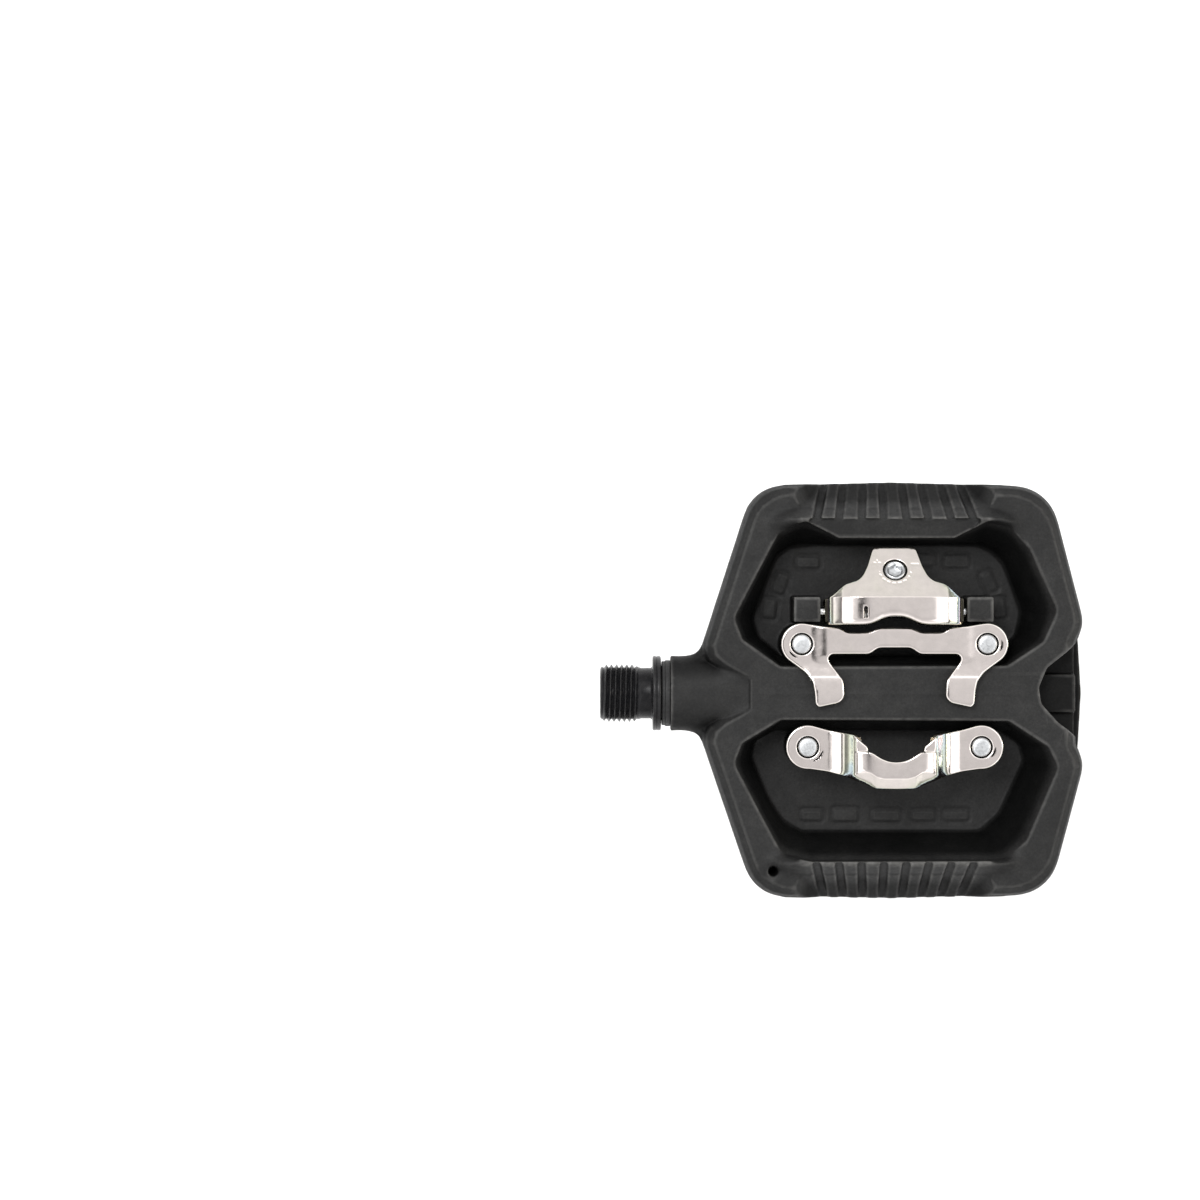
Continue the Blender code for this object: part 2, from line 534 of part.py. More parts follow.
def boss():
    """The tube round the spindle, flattened on top so that the beam stands over it."""
    length = BOSS_END_X - BOSS_X
    made = rod("boss_tube", (BOSS_X + length / 2, 0, 0), BOSS_R, length, sides=28)
    high, low = BOSS_TOP
    cut(made, hull("boss_flat", [(x, y, z) for y in (-BOSS_R, BOSS_R) for x, z in (
        (BOSS_X - 1, high), (BEAM_X + 2, low), (BEAM_X + 2, BOSS_R + 1), (BOSS_X - 1, BOSS_R + 1))]))
    return made


def body():
    frame = inset(FRAME, 0)
    made = loft("pedal_body", [(frame, FRAME_STEP_Z), (frame, SIDE_Z), (inset(FRAME, 0.9), SHOULDER_Z),
                               (inset(FRAME, 2.6), BAND_Z)], "composite")
    join(made, plate("tread_plate", [inset(TREAD, 0)], TREAD_Z, FRAME_STEP_Z + 0.5),
         loft("web", [(inset(WEB, 0), FRAME_STEP_Z + 0.1), (inset(WEB, 0), WEB_Z),
                      (inset(WEB, WEB_EDGE), WEB_TOP)]))
    for name, sign, crest_y, foot_y, ledge_z in RIMS:
        rim(made, name, sign, crest_y, foot_y, ledge_z)
    for name, outline, floor in (("rear", POCKET_REAR, FLOOR_REAR), ("front", POCKET_FRONT, FLOOR_FRONT)):
        edge = inset(outline, 0)
        cut(made, loft(name + "_pocket", [(inset(floor, 0), FLOOR_Z),
                                          (between(floor, outline, 0.1), FLOOR_Z + 1.5),
                                          (between(floor, outline, 0.82), BAND_Z - 1.8),
                                          (edge, BAND_Z), (edge, 20)]))
    join(made, boss(), beam())
    for side, x, y in four_screws():
        join(made, rod("pillar_" + side, (x, y, (FLOOR_Z - 1 + PLATE_Z - GAP) / 2), PILLAR_R,
                       PLATE_Z - GAP - FLOOR_Z + 1, "Z", 16))
    for side, sign in (("inboard", -1), ("outboard", 1)):
        x0, x1 = sorted((CENTRE_X + sign * LUG_NEAR, CENTRE_X + sign * LUG_FAR))
        join(made, box("lug_" + side, (x0, LUG_FRONT_Y, FLOOR_Z - 1), (x1, LUG_REAR_Y, LUG_Z)))
    cut(made, plate("notch", [inset(NOTCH, 0)], NOTCH_Z, 20))
    join(made, box("notch_step", *NOTCH_STEP))
    cut(made, plate("pad_seat", [inset(PAD, 0)], -20, PAD_SEAT_Z))
    join(made, *raised_bars("border_bar", BORDER_BARS, BORDER_BLOCKS))
    for name, sign, crest_y, _, _ in RIMS:
        rim_grooves(made, name, sign, crest_y)
    rear_ledge(made, RIMS[0][2])
    cut(made, rod("bore_mouth", ((BOSS_X - 3 + BORE_STEP_X) / 2, 0, 0), BORE_R, BORE_STEP_X - BOSS_X + 3),
        rod("bore", ((BORE_STEP_X - 1 + BORE_END_X) / 2, 0, 0), BORE_IN_R, BORE_END_X - BORE_STEP_X + 1),
        rod("strap_hole_low", (*STRAP_HOLE, STRAP_WEB[0] - 10), STRAP_R, 20, "Z", 12),
        rod("strap_hole_top", (*STRAP_HOLE, STRAP_WEB[1] + 10), STRAP_R, 20, "Z", 12),
        rod("pin_bore", (CENTRE_X, PIN_Y, PIN_Z), PIN_R + GAP, 2 * LUG_FAR + 1.6, "X", 12))
    for side, x, y in four_screws():
        cut(made, rod("screw_hole_" + side, (x, y, 0), SCREW_R + GAP, 60, "Z", 16),
            rod("head_recess_" + side, (x, y, RECESS_Z - 10), RECESS_R, 20, "Z", 16))
    return made


def tread_pad():
    outline = inset(PAD, GAP)
    made = plate("tread_pad", [outline], TREAD_Z, PAD_SEAT_Z - GAP, "tread")
    join(made, *raised_bars("pad_bar", PAD_BARS, PAD_BLOCKS))
    for side, x, y in four_screws():
        cut(made, rod("pad_hole_" + side, (x, y, TREAD_Z), PAD_HOLE_R, 20, "Z", 16))
    return made


def sheet(name, outline, lines, shape, thickness, look, place=PARTS):
    """A bent sheet: a flat outline, split along lines (x, y, nx, ny), shaped, then thickened downwards."""
    bm = bmesh.new()
    bm.faces.new([bm.verts.new((x, y, 0)) for x, y in outline])
    for x, y, nx, ny in lines:
        bmesh.ops.bisect_plane(bm, geom=bm.verts[:] + bm.edges[:] + bm.faces[:], dist=1e-5,
                               plane_co=(x, y, 0), plane_no=(nx, ny, 0))
    bmesh.ops.triangulate(bm, faces=bm.faces)
    for v in bm.verts:
        v.co = Vector(shape(v.co.x, v.co.y)) * MM
    mesh = bpy.data.meshes.new(name)
    bmesh.ops.recalc_face_normals(bm, faces=bm.faces)
    if sum(f.normal.z * f.calc_area() for f in bm.faces) < 0:
        bmesh.ops.reverse_faces(bm, faces=bm.faces)
    bm.to_mesh(mesh)
    bm.free()
    obj = add(name, mesh, place)
    thick = obj.modifiers.new("thickness", "SOLIDIFY")
    thick.thickness = thickness * MM
    thick.offset = -1
    thick.use_even_offset = True
    return own_material(obj, look)


def mirrored(half):
    """A whole outline from its +X half, listed from the rear centre to the front centre."""
    return half + [(-x, y) for x, y in half[::-1] if x > 1e-6]


def screw_holes(made, name, place):
    for sign in (-1, 1):
        cut(made, rod(name, (CENTRE_X + sign * place[0], place[1], PLATE_Z), SCREW_R + GAP, 12, "Z", 16))


def stop_plate():
    half = [(0, 16.2), (4.0, 16.2), (6.6, 15.1), (11.6, 15.1), (13.6, 16.3), (17.5, 16.6)]
    half += arc(REAR_SCREWS[0], REAR_SCREWS[1], 5.1, 100, -48, 7)
    half += [(21.9, 5.4), (20.2, 3.2), (19.7, 0.5), (19.5, -2.4), (18.7, -3.2), (13.6, -2.1), (12.4, -0.8),
             (12.6, 3.5), (16.2, 8.1), (16.2, 9.1), (15.4, 9.84), (6.2, 9.84), (4.0, 11.4), (0, 11.4)]

    start, end = LEG_RAMP

    def shape(x, y):
        lift = max(0, min(1, (start - y) / (start - end))) * LEG_LIFT
        return CENTRE_X + x, y, PLATE_Z + PLATE_T + lift

    made = sheet("cleat_stop_plate", anticlockwise(mirrored(half)), [(0, y, 0, 1) for y in LEG_RAMP],
                 shape, PLATE_T, "plated")
    screw_holes(made, "stop_hole", REAR_SCREWS)
    return made


def front_claw():
    half = [(0, -16.5), (1.8, -16.3), (3.6, -15.6), (5.6, -14.3), (6.8, -13.8), (6.9, -12.8), (10.6, -9.7)]
    half += [(13.0, -9.4), (16.4, -8.8)] + arc(FRONT_SCREWS[0], FRONT_SCREWS[1], 5.4, 105, -95, 9)
    half += [(16.5, -19.0), (13.4, -19.9), (9.4, -21.5), (4.9, -23.2), (0, -23.3)]

    lip_y, slant, slope = HOOP_LIP

    def shape(x, y):
        lift = HOOP_SECTION[0][1]
        for (x0, z0), (x1, z1) in zip(HOOP_SECTION, HOOP_SECTION[1:]):
            share = max(0, min(1, (abs(x) - x0) / (x1 - x0)))
            lift += (z1 - z0) * share
        fall = max(0, lip_y + slant * abs(x) - y) * slope * lift / HOOP_SECTION[0][1]
        return CENTRE_X + x, y, PLATE_Z + PLATE_T + lift - fall

    lines = [(s * x, 0, 1, 0) for s in (-1, 1) for x, _ in HOOP_SECTION]
    lines += [(0, lip_y, slant * s, 1) for s in (-1, 1)]
    made = sheet("front_claw", anticlockwise(mirrored(half)), lines, shape, PLATE_T, "plated")
    screw_holes(made, "hoop_hole", FRONT_SCREWS)
    return made


CLAW_SECTION = [(0, 0, 0), (9.4, 9.4, 0), (12.6, 12.5, -0.7), (15.4, 14.9, -2.2), (18.0, 16.5, -4.3),
                (20.6, 17.2, -6.8), (40, 17.2, -26.2)]


def claw_point(u, y):
    """Place on the rear claw: u runs across the sheet and down the cheeks, y along the pedal."""
    side = 1 if u >= 0 else -1
    u = abs(u)
    for (u0, x0, z0), (u1, x1, z1) in zip(CLAW_SECTION, CLAW_SECTION[1:]):
        if u <= u1 + 1e-6:
            t = (u - u0) / (u1 - u0)
            x, z = x0 + (x1 - x0) * t, z0 + (z1 - z0) * t
            break
    drop = max(0, y - CLAW_BEND_Y) * math.tan(math.radians(CLAW_SLOPE))
    return CENTRE_X + side * x, y, CLAW_Z + z - drop


def rear_claw():
    half = [(0, 36.3), (4.6, 36.3), (5.2, 35.7), (6.6, 31.4), (8.6, 28.6), (11.9, 27.0), (15.2, 24.8)]
    half += [(18.5, 23.6), (22.5, 23.4)] + arc(28.4, PIN_Y, 3.2, 78, -78, 6)
    half += [(22.5, 17.2), (14.0, 17.0), (8.0, 17.0), (5.6, 17.4), (3.6, 18.2), (0, 18.5)]
    lines = [(s * u, 0, 1, 0) for s in (-1, 1) for u, _, _ in CLAW_SECTION[1:-1]]
    lines += [(0, CLAW_BEND_Y, 0, 1)]
    made = sheet("rear_claw", anticlockwise(mirrored(half)), lines, claw_point, PLATE_T, "plated")
    cut(made, rod("claw_pin_hole", (CENTRE_X, PIN_Y, PIN_Z), PIN_R + GAP, 40, "X", 16))
    tool = rod("adjuster_hole", (0, 0, 0), 2.95, 8, "Z", 20)
    tool.matrix_world = adjuster_frame()
    cut(made, tool)
    return made


def adjuster_frame():
    drop = (ADJ_Y - CLAW_BEND_Y) * math.tan(math.radians(CLAW_SLOPE))
    at = Vector((CENTRE_X, ADJ_Y, CLAW_Z - drop)) * MM
    return Matrix.Translation(at) @ Matrix.Rotation(math.radians(-CLAW_SLOPE), 4, "X")


def moved_origin(obj, at):
    """Puts the object's origin on its joint axis without moving the mesh."""
    bpy.context.view_layer.update()
    at = Vector(at) * MM
    obj.data.transform(Matrix.Translation(-at) @ obj.matrix_world)
    obj.matrix_world = Matrix.Translation(at)
    return obj


def hex_tool(name, flats, centre, depth, axis="Z"):
    return rod(name, centre, flats / math.sqrt(3), depth, axis, 6)


def tension_adjuster():
    frame = adjuster_frame()
    screw = turned("tension_screw", [(0.1, 0), (0.1, 2.35), (-0.15, 2.62), (-2.3, 2.62), (-2.3, 1.5),
                                     (-12.2, 1.5), (-12.8, 1.0), (-12.8, 0)], "zinc", steps=16)
    screw.rotation_euler = (0, 0, 0)
    screw.matrix_world = frame
    socket = hex_tool("adjuster_socket", 3.0, (0, 0, 0), 3.4)
    socket.matrix_world = frame
    cut(screw, socket)
    nut = box("tension_nut", (-4.2, -2.6, -1.6), (4.2, 2.6, 1.6), "spring_steel")
    hole = rod("nut_bore", (0, 0, 0), 1.5 + GAP, 10, "Z", 12)
    nut.matrix_world = frame @ Matrix.Translation((0, 0, -8.4 * MM))
    hole.matrix_world = nut.matrix_world.copy()
    cut(nut, hole)


def spring(name, sign):
    """A torsion spring on the claw pin: an arm on the body floor, its turns, an arm under the nut."""
    curve = bpy.data.curves.new(name, "CURVE")
    curve.dimensions = "3D"
    curve.bevel_depth = 0.6 * MM
    curve.bevel_resolution = 1
    curve.use_fill_caps = True
    turns, per_turn, mean_r = 4.5, 10, 2.75
    near, far = 6.0, 13.6
    points = [(CENTRE_X + sign * 3.0, PIN_Y + 5.5, PIN_Z - 1.3),
              (CENTRE_X + sign * 4.8, PIN_Y + 3.7, PIN_Z - 2.1)]
    count = int(turns * per_turn)
    for k in range(count + 1):
        a = math.radians(-90 - 360 * k / per_turn)
        x = near + 0.3 + (far - near - 0.6) * k / count
        points.append((CENTRE_X + sign * x, PIN_Y + mean_r * math.cos(a), PIN_Z + mean_r * math.sin(a)))
    points += [(CENTRE_X + sign * far, PIN_Y + 3.3, PIN_Z + 1.6),
               (CENTRE_X + sign * far, PIN_Y + 4.3, PIN_Z - 1),
               (CENTRE_X + sign * far, PIN_Y + 4.6, FLOOR_Z + 0.6 + GAP)]
    spline = curve.splines.new("POLY")
    spline.points.add(len(points) - 1)
    for point, at in zip(spline.points, points):
        point.co = (*(Vector(at) * MM), 1)
    return smooth(finish_curve(add(name + "_wire", curve), name, "spring_steel", PARTS))


def plate_screws():
    for side, x, y in four_screws():
        top = PLATE_Z + PLATE_T
        made = turned("plate_screw_" + side, [(top, 0), (top, 2.1), (top - 0.4, SCREW_R), (-7.6, SCREW_R),
                                              (-7.6, HEAD_R), (HEAD_Z + 0.5, HEAD_R), (HEAD_Z, HEAD_R - 0.5),
                                              (HEAD_Z, 0)], "zinc", steps=16)
        made.rotation_euler = (0, 0, 0)
        made.location = (x * MM, y * MM, 0)
        socket = hex_tool("drive_" + side, 3.6, (x, y, HEAD_Z), 3.0)
        cut(made, socket)


def spindle_group():
    bx = BEARING_X
    spindle = turned("spindle", [
        (TIP_X, 0), (TIP_X, 2.0), (TIP_X - 0.4, BEARING_SEAT_R), (bx[0] - GAP, BEARING_SEAT_R),
        (bx[0] - GAP, 3.0), (bx[0] - 2.5, 3.0), (bx[0] - 4.0, SHAFT_R), (24.0, SHAFT_R), (23.4, JOURNAL_R),
        (FLANGE_W + 0.1, JOURNAL_R), (FLANGE_W, 8.6), (FLANGE_W - 0.25, FLANGE_R), (1.3, FLANGE_R),
        (1.2, 8.9), (0.8, 8.9), (0.7, FLANGE_R), (0.25, FLANGE_R), (0, FLANGE_R - 0.3), (0, SEAT_IN_R),
        (-0.5, 7.0), (-1.0, NECK_R), (-3.0, NECK_R), (-3.5, THREAD_R), (THREAD_END_X + 0.9, THREAD_R),
        (THREAD_END_X, 6.3), (THREAD_END_X, 0)], "black_steel")
    cut(spindle, hex_tool("key_socket", KEY_AF, (THREAD_END_X, 0, 0), 2 * KEY_DEPTH, "X"))
    for i, x in enumerate(bx, 1):
        x1 = x + BEARING_W
        for race, low, high in (("inner", 2.55, 3.1), ("outer", 4.8, 5.5)):
            turned("bearing_%s_race_%d" % (race, i), [(x1, low), (x1, high), (x, high), (x, low)],
                   "bearing_steel", True)
        mid = x + BEARING_W / 2
        cage = turned("ball_cage_%d" % i, [(mid + 1.5, 3.62), (mid + 1.5, 4.28), (mid - 1.5, 4.28),
                                           (mid - 1.5, 3.62)], "cage", True, 21)
        for k in range(BALLS):
            a = 2 * math.pi * k / BALLS
            at = (mid, BALL_PITCH_R * math.cos(a), BALL_PITCH_R * math.sin(a))
            for name, radius, place in (("ball_%d_%d" % (i, k + 1), BALL_R, PARTS),
                                        ("ball_seat_%d_%d" % (i, k + 1), BALL_R + BALL_PLAY, CUTTERS)):
                bm = bmesh.new()
                bmesh.ops.create_uvsphere(bm, u_segments=8, v_segments=6, radius=radius * MM)
                mesh = bpy.data.meshes.new(name)
                bm.to_mesh(mesh)
                bm.free()
                ball = smooth(add(name, mesh, place))
                ball.location = Vector(at) * MM
                if place is PARTS:
                    own_material(ball, "bearing_steel")
                else:
                    cut(cage, ball)
    gap_x = bx[0] + BEARING_W
    turned("bearing_spacer", [(bx[1] - 0.15, 4.9), (bx[1] - 0.15, 5.5), (gap_x + 0.15, 5.5),
                              (gap_x + 0.15, 4.9)], "bearing_steel", True)
    end = bx[1] + BEARING_W
    turned("spindle_washer", [(end + 1.15, 2.7), (end + 1.15, 4.3), (end + 0.15, 4.3), (end + 0.15, 2.7)],
           "zinc", True)
    nut = rod("spindle_lock_nut", (end + 1.45 + 1.6, 0, 0), 4.6, 3.2, "X", 6, "zinc")
    cut(nut, rod("lock_nut_bore", (end + 3, 0, 0), BEARING_SEAT_R + 0.2, 10))
    turned("cartridge_sleeve", [
        (82.6, 5.65), (82.6, 6.4), (BORE_STEP_X - 0.4, 6.4), (BORE_STEP_X - 1.2, 7.4), (9.4, 7.4),
        (9.4, 6.5), (BORE_STEP_X - 2.4, 6.5), (BORE_STEP_X - 0.6, 5.65)], "bearing_steel", True)
    turned("inboard_bush", [(22.5, 5.2), (22.5, 6.2), (9.6, 6.2), (9.6, 5.2)], "bush", True)
    turned("retaining_collar", [(9.1, 5.4), (9.1, 7.4), (BOSS_X + 0.2, 7.4), (BOSS_X + 0.2, 5.4)],
           "black_steel", True)
    turned("dust_seal", [(BOSS_X - 0.3, 5.4), (BOSS_X - 0.3, 8.2), (FLANGE_W + GAP, 8.2),
                         (FLANGE_W + GAP, 5.4)], "seal", True)


body()
tread_pad()
stop_plate()
front_claw()
moved_origin(own_material(settled(rear_claw()), "plated"), (CENTRE_X, PIN_Y, PIN_Z))
tension_adjuster()
spring("torsion_spring_inboard", -1)
spring("torsion_spring_outboard", 1)
plate_screws()
rod("claw_pivot_pin", (CENTRE_X, PIN_Y, PIN_Z), PIN_R, 2 * PIN_HALF, "X", 16, "spring_steel")
spindle_group()
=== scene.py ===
"""Visual model of the clipless pedal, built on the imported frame.

Shapes are worked out in millimetres in the row frame: +X outboard along the spindle,
+Y to the rear, +Z out of the cleat face. They are scaled to metres as they are placed.
"""

import math

import bmesh
import bpy
import numpy as np
from mathutils import Matrix, Vector, geometry, kdtree


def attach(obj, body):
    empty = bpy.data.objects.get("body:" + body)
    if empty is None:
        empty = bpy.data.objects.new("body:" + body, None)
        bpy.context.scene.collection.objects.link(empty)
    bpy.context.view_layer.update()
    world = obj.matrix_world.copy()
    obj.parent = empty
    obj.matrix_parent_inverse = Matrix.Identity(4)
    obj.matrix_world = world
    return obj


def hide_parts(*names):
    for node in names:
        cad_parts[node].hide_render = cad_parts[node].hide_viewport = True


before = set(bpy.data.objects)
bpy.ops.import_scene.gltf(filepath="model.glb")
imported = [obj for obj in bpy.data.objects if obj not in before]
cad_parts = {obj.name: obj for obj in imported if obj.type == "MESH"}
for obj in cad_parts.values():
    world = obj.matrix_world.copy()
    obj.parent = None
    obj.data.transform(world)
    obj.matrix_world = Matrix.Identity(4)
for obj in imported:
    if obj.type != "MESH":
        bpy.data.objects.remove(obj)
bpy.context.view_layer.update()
MM = 0.001

# --- places and sizes, in millimetres -------------------------------------------------
CENTRE_X = 59.3                         # middle of the cleat hardware
FLOOR_Z = -6.0                          # floor of the two pockets
REAR_SCREWS, FRONT_SCREWS = (22.8, 12.3), (21.3, -13.0)   # half the spacing, and y
REAR_EAR_R, FRONT_EAR_R = 5.1, 5.4
SCREW_HOLE_R, SCREW_ROLL = 2.72, 0.28
PLATE_TOP, PLATE_T, PLATE_CROWN = 11.1, 1.6, 0.3
LEG_RISE = [(-10, 1.2), (3.2, 1.2), (4.9, 0.45), (8.2, 0), (20, 0)]   # lift of the legs, by y

# the front hoop: its lift by x, the crease that its lip falls from, and how steeply
HOOP_SECTION = [(0, 5.2), (7.3, 5.2), (9.7, 4.6), (11.4, 2.4), (13.2, 0.75), (15.6, 0.05), (16.4, 0),
                (30, 0)]
HOOP_CREASE = [(0, -20.5), (4.0, -20.5), (7.3, -18.5), (9.8, -19.2), (13.0, -21.5)]
HOOP_FALL = 0.55
HOOP_FLAP = (9.9, -14.0, 4.55)          # nearer than this x and behind this y, it stays at this height

# the rear claw: height of its bend, the tab's slope, its section (x, z) and a slit (x, y, half sizes)
CLAW_TOP, CLAW_BEND_Y, CLAW_SLOPE = 16.3, 23.8, math.radians(31)
CLAW_SECTION = [(0, 0), (9.3, 0), (12.6, -0.85), (13.6, -1.45), (15.9, -3.1), (16.8, -4.8), (17.2, -6.8),
                (17.2, -26.2)]
CLAW_SLIT = (-7.4, 20.2, 0.5, 1.45)
EYE_AT, EYE_R = 25.76, 3.2              # the pin's eye along the flat sheet, and the cheek round it
PIN_Y, PIN_Z, PIN_R, PIN_HALF = 20.0, 4.3, 1.5, 24.2
ADJ_Y = 30.5                            # the tension screw, in the tab

# narrow curved slots beside the screws: side, radius, from and to in degrees
STOP_SLOTS = ((-1, 3.5, -150, -110), (1, 3.5, -30, 16))
HOOP_SLOTS = ((-1, 3.7, -72, -12), (1, 3.4, -48, 0))
SLOT_HALF = 0.24

# the spindle's thread and hexagon socket
THREAD_R, THREAD_ROOT, PITCH = 7.14, 6.38, 1.27
THREAD_FROM, THREAD_TO = -13.0, -3.5
KEY_AF, KEY_DEPTH = 8.0, 9.0

# meshing
EDGE_SHARES = (0.12, 0.3, 0.6, 1.0)     # rows of points across a rolled edge
SHARP_ROLL = 0.02                       # an edge this tight gets no rows
FOLD_ROWS = (-0.8, -0.5, -0.25, -0.1, 0.0, 0.1, 0.25, 0.5, 0.8)   # and beside a fold
BODY_SKIN = (0.3, 4, 190000)            # voxel size, rounds of smoothing, most faces
TREAD_SKIN = (0.26, 3, 170000)

# the view, and the studio's dark lens overhead, as a direction seen from the plates
VIEW_CENTRE, VIEW_HEIGHT, VIEW_WIDTH = (-13.0, 23.1), 1000.0, 297.6
LENS = (-0.072, 0.023)


# --- materials ----------------------------------------------------------------------
class Graph:
    """A tree of shader nodes, with short calls for the nodes that it is made of."""

    def __init__(self, tree):
        self.tree = tree

    def add(self, kind, **settings):
        node = self.tree.nodes.new("ShaderNode" + kind)
        for key, value in settings.items():
            setattr(node, key, value)
        return node

    def link(self, source, target):
        self.tree.links.new(source, target)

    def ramp(self, source, *stops):
        """stops: (place, colour or grey)."""
        node = self.add("ValToRGB")
        elements = node.color_ramp.elements
        while len(elements) < len(stops):
            elements.new(0.5)
        for element, (at, colour) in zip(elements, stops):
            element.position = at
            element.color = (*colour, 1) if isinstance(colour, tuple) else (colour, colour, colour, 1)
        self.link(source, node.inputs["Fac"])
        return node.outputs["Color"]

    def maths(self, operation, a, b):
        node = self.add("Math", operation=operation)
        for socket, value in zip(node.inputs, (a, b)):
            if isinstance(value, (int, float)):
                socket.default_value = value
            else:
                self.link(value, socket)
        return node.outputs["Value"]

    def mix(self, factor, a, b, blend="MIX"):
        node = self.add("Mix", data_type="RGBA", blend_type=blend)
        for socket, value in ((node.inputs[0], factor), (node.inputs[6], a), (node.inputs[7], b)):
            if isinstance(value, tuple):
                socket.default_value = (*value, 1)
            elif isinstance(value, (int, float)):
                socket.default_value = value
            else:
                self.link(value, socket)
        return node.outputs[2]


class Look(Graph):
    """A procedural material."""

    def __init__(self, name, **values):
        self.material = bpy.data.materials.new(name)
        self.material.use_nodes = True
        super().__init__(self.material.node_tree)
        self.shader = self.tree.nodes["Principled BSDF"]
        for key, value in values.items():
            self.shader.inputs[key.replace("_", " ")].default_value = value
        self.place = self.tree.nodes.new("ShaderNodeTexCoord").outputs["Object"]

    def noise(self, scale, detail=3.0, roughness=0.55, stretch=None):
        """Noise over the object's own coordinates; scale is in cycles per metre."""
        node = self.add("TexNoise")
        node.inputs["Scale"].default_value = scale
        node.inputs["Detail"].default_value = detail
        node.inputs["Roughness"].default_value = roughness
        place = self.place
        if stretch:
            mapping = self.add("Mapping")
            mapping.inputs["Scale"].default_value = stretch
            self.link(place, mapping.inputs["Vector"])
            place = mapping.outputs["Vector"]
        self.link(place, node.inputs["Vector"])
        return node.outputs["Fac"]

    def spread(self, source, low, high, start=0.3, end=0.7):
        """source from start to end, mapped to low to high."""
        node = self.add("MapRange")
        for key, value in (("From Min", start), ("From Max", end), ("To Min", low), ("To Max", high)):
            node.inputs[key].default_value = value
        self.link(source, node.inputs["Value"])
        return node.outputs["Result"]

    def edges(self, low=0.5, high=0.56):
        """How convex the surface is, from 0 to 1."""
        geo = self.add("NewGeometry")
        return self.spread(geo.outputs["Pointiness"], 0.0, 1.0, low, high)

    def bump(self, *layers):
        """layers: (height, strength, distance in metres), each on top of the one before."""
        normal = None
        for height, strength, distance in layers:
            node = self.add("Bump")
            node.inputs["Strength"].default_value = strength
            node.inputs["Distance"].default_value = distance
            self.link(height, node.inputs["Height"])
            if normal:
                self.link(normal, node.inputs["Normal"])
            normal = node.outputs["Normal"]
        self.link(normal, self.shader.inputs["Normal"])

    def set(self, socket, source):
        self.link(source, self.shader.inputs[socket])


def moulded_look(name, dark, light, wear_and_highlight_colour):
    """Matt moulded plastic: eroded grain, cloudy tone, painted shade in recesses and creases, and pale edges
    of wear and painted highlight.
    """
    look = Look(name)
    tone = look.ramp(look.noise(260, 4, 0.6), (0.32, dark), (0.7, light))
    cloud = look.ramp(look.noise(34, 2, 0.5), (0.35, 0.8), (0.65, 1.3))
    mottle = look.ramp(look.noise(1500, 4, 0.65), (0.34, 0.75), (0.66, 1.25))
    speck = look.ramp(look.noise(5200, 2, 0.7), (0.3, 0.65), (0.62, 1.0), (0.8, 1.5))
    # painted shade: the ramp over height darkens the pocket walls and the dips between the tread bars, and
    # lowers their gloss with it
    height = look.add("SeparateXYZ")
    look.link(look.place, height.inputs[0])
    level = look.spread(height.outputs["Z"], 0.0, 1.0, -0.0125, 0.01)
    depth = look.ramp(level, (0.02, 1.0), (0.06, 1.0), (0.1, 0.7), (0.25, 1.0), (0.31, 1.0), (0.36, 0.36),
                      (0.8, 0.42), (0.93, 1.0))
    proud = look.add("Attribute", attribute_name="proud").outputs["Fac"]
    # painted shade: concave creases, which sit below their smoothed surroundings, are darkened
    painted_crease_shade = look.ramp(look.spread(proud, 0.0, 1.0, -0.14, 0.02), (0.0, 0.3), (0.85, 1.0))
    colour = look.mix(1.0, tone, mottle, "MULTIPLY")
    for layer in (cloud, speck, depth, painted_crease_shade):
        colour = look.mix(1.0, colour, layer, "MULTIPLY")
    # convex edges are paled, partly as wear and partly as a painted highlight; the painted shade of the
    # walls mutes them there
    pale_edges = look.maths("MULTIPLY", look.spread(proud, 0.0, 1.0, 0.03, 0.14),
                      look.spread(look.noise(700, 3), 0.4, 1.0))
    pale_edges = look.maths("MULTIPLY", pale_edges, depth)
    look.set("Base Color", look.mix(pale_edges, colour, wear_and_highlight_colour))
    look.set("Specular IOR Level", look.maths("MULTIPLY", depth, 0.2))
    rough = look.spread(look.noise(900, 4, 0.6), 0.46, 0.6)
    look.set("Roughness", look.maths("SUBTRACT", rough, look.maths("MULTIPLY", pale_edges, 0.14)))
    look.bump((look.noise(1500, 3, 0.6), 0.25, 0.00012), (look.noise(5600, 2, 0.6), 0.5, 0.00006))
    return look.material


def plated_look():
    """Polished nickel plate on stamped steel: warm white, with faint heat tints on the bends."""
    look = Look("nickel_plate", Metallic=1.0)
    geo = look.add("LayerWeight")
    geo.inputs["Blend"].default_value = 0.35
    phase = look.maths("ADD", look.maths("MULTIPLY", look.noise(140, 2, 0.4), 0.5),
                       look.maths("MULTIPLY", geo.outputs["Facing"], 1.6))
    tint = look.ramp(phase, (0.3, (0.70, 0.64, 0.615)), (0.48, (0.71, 0.66, 0.61)),
                     (0.6, (0.64, 0.66, 0.52)), (0.7, (0.50, 0.60, 0.64)), (0.82, (0.64, 0.53, 0.60)),
                     (0.95, (0.72, 0.66, 0.5)))
    smudge = look.ramp(look.noise(420, 4, 0.6), (0.35, 0.94), (0.7, 1.02))
    look.set("Base Color", look.mix(1.0, tint, smudge, "MULTIPLY"))
    look.set("Roughness", look.spread(look.noise(650, 5, 0.65), 0.08, 0.17))
    hairlines = look.noise(900, 2, 0.5, (1.0, 14.0, 1.0))
    look.bump((hairlines, 0.05, 0.00003))
    return look.material


def zinc_look(name, colour, rough=(0.26, 0.42)):
    """Bright zinc: pale grey with a mottled, slightly brushed face."""
    look = Look(name, Metallic=1.0)
    dark = tuple(c * 0.78 for c in colour)
    look.set("Base Color", look.ramp(look.noise(1600, 4, 0.6), (0.3, dark), (0.66, colour)))
    look.set("Roughness", look.spread(look.noise(2300, 3, 0.6), rough[0], rough[1]))
    look.bump((look.noise(2600, 3, 0.6), 0.16, 0.00006))
    return look.material


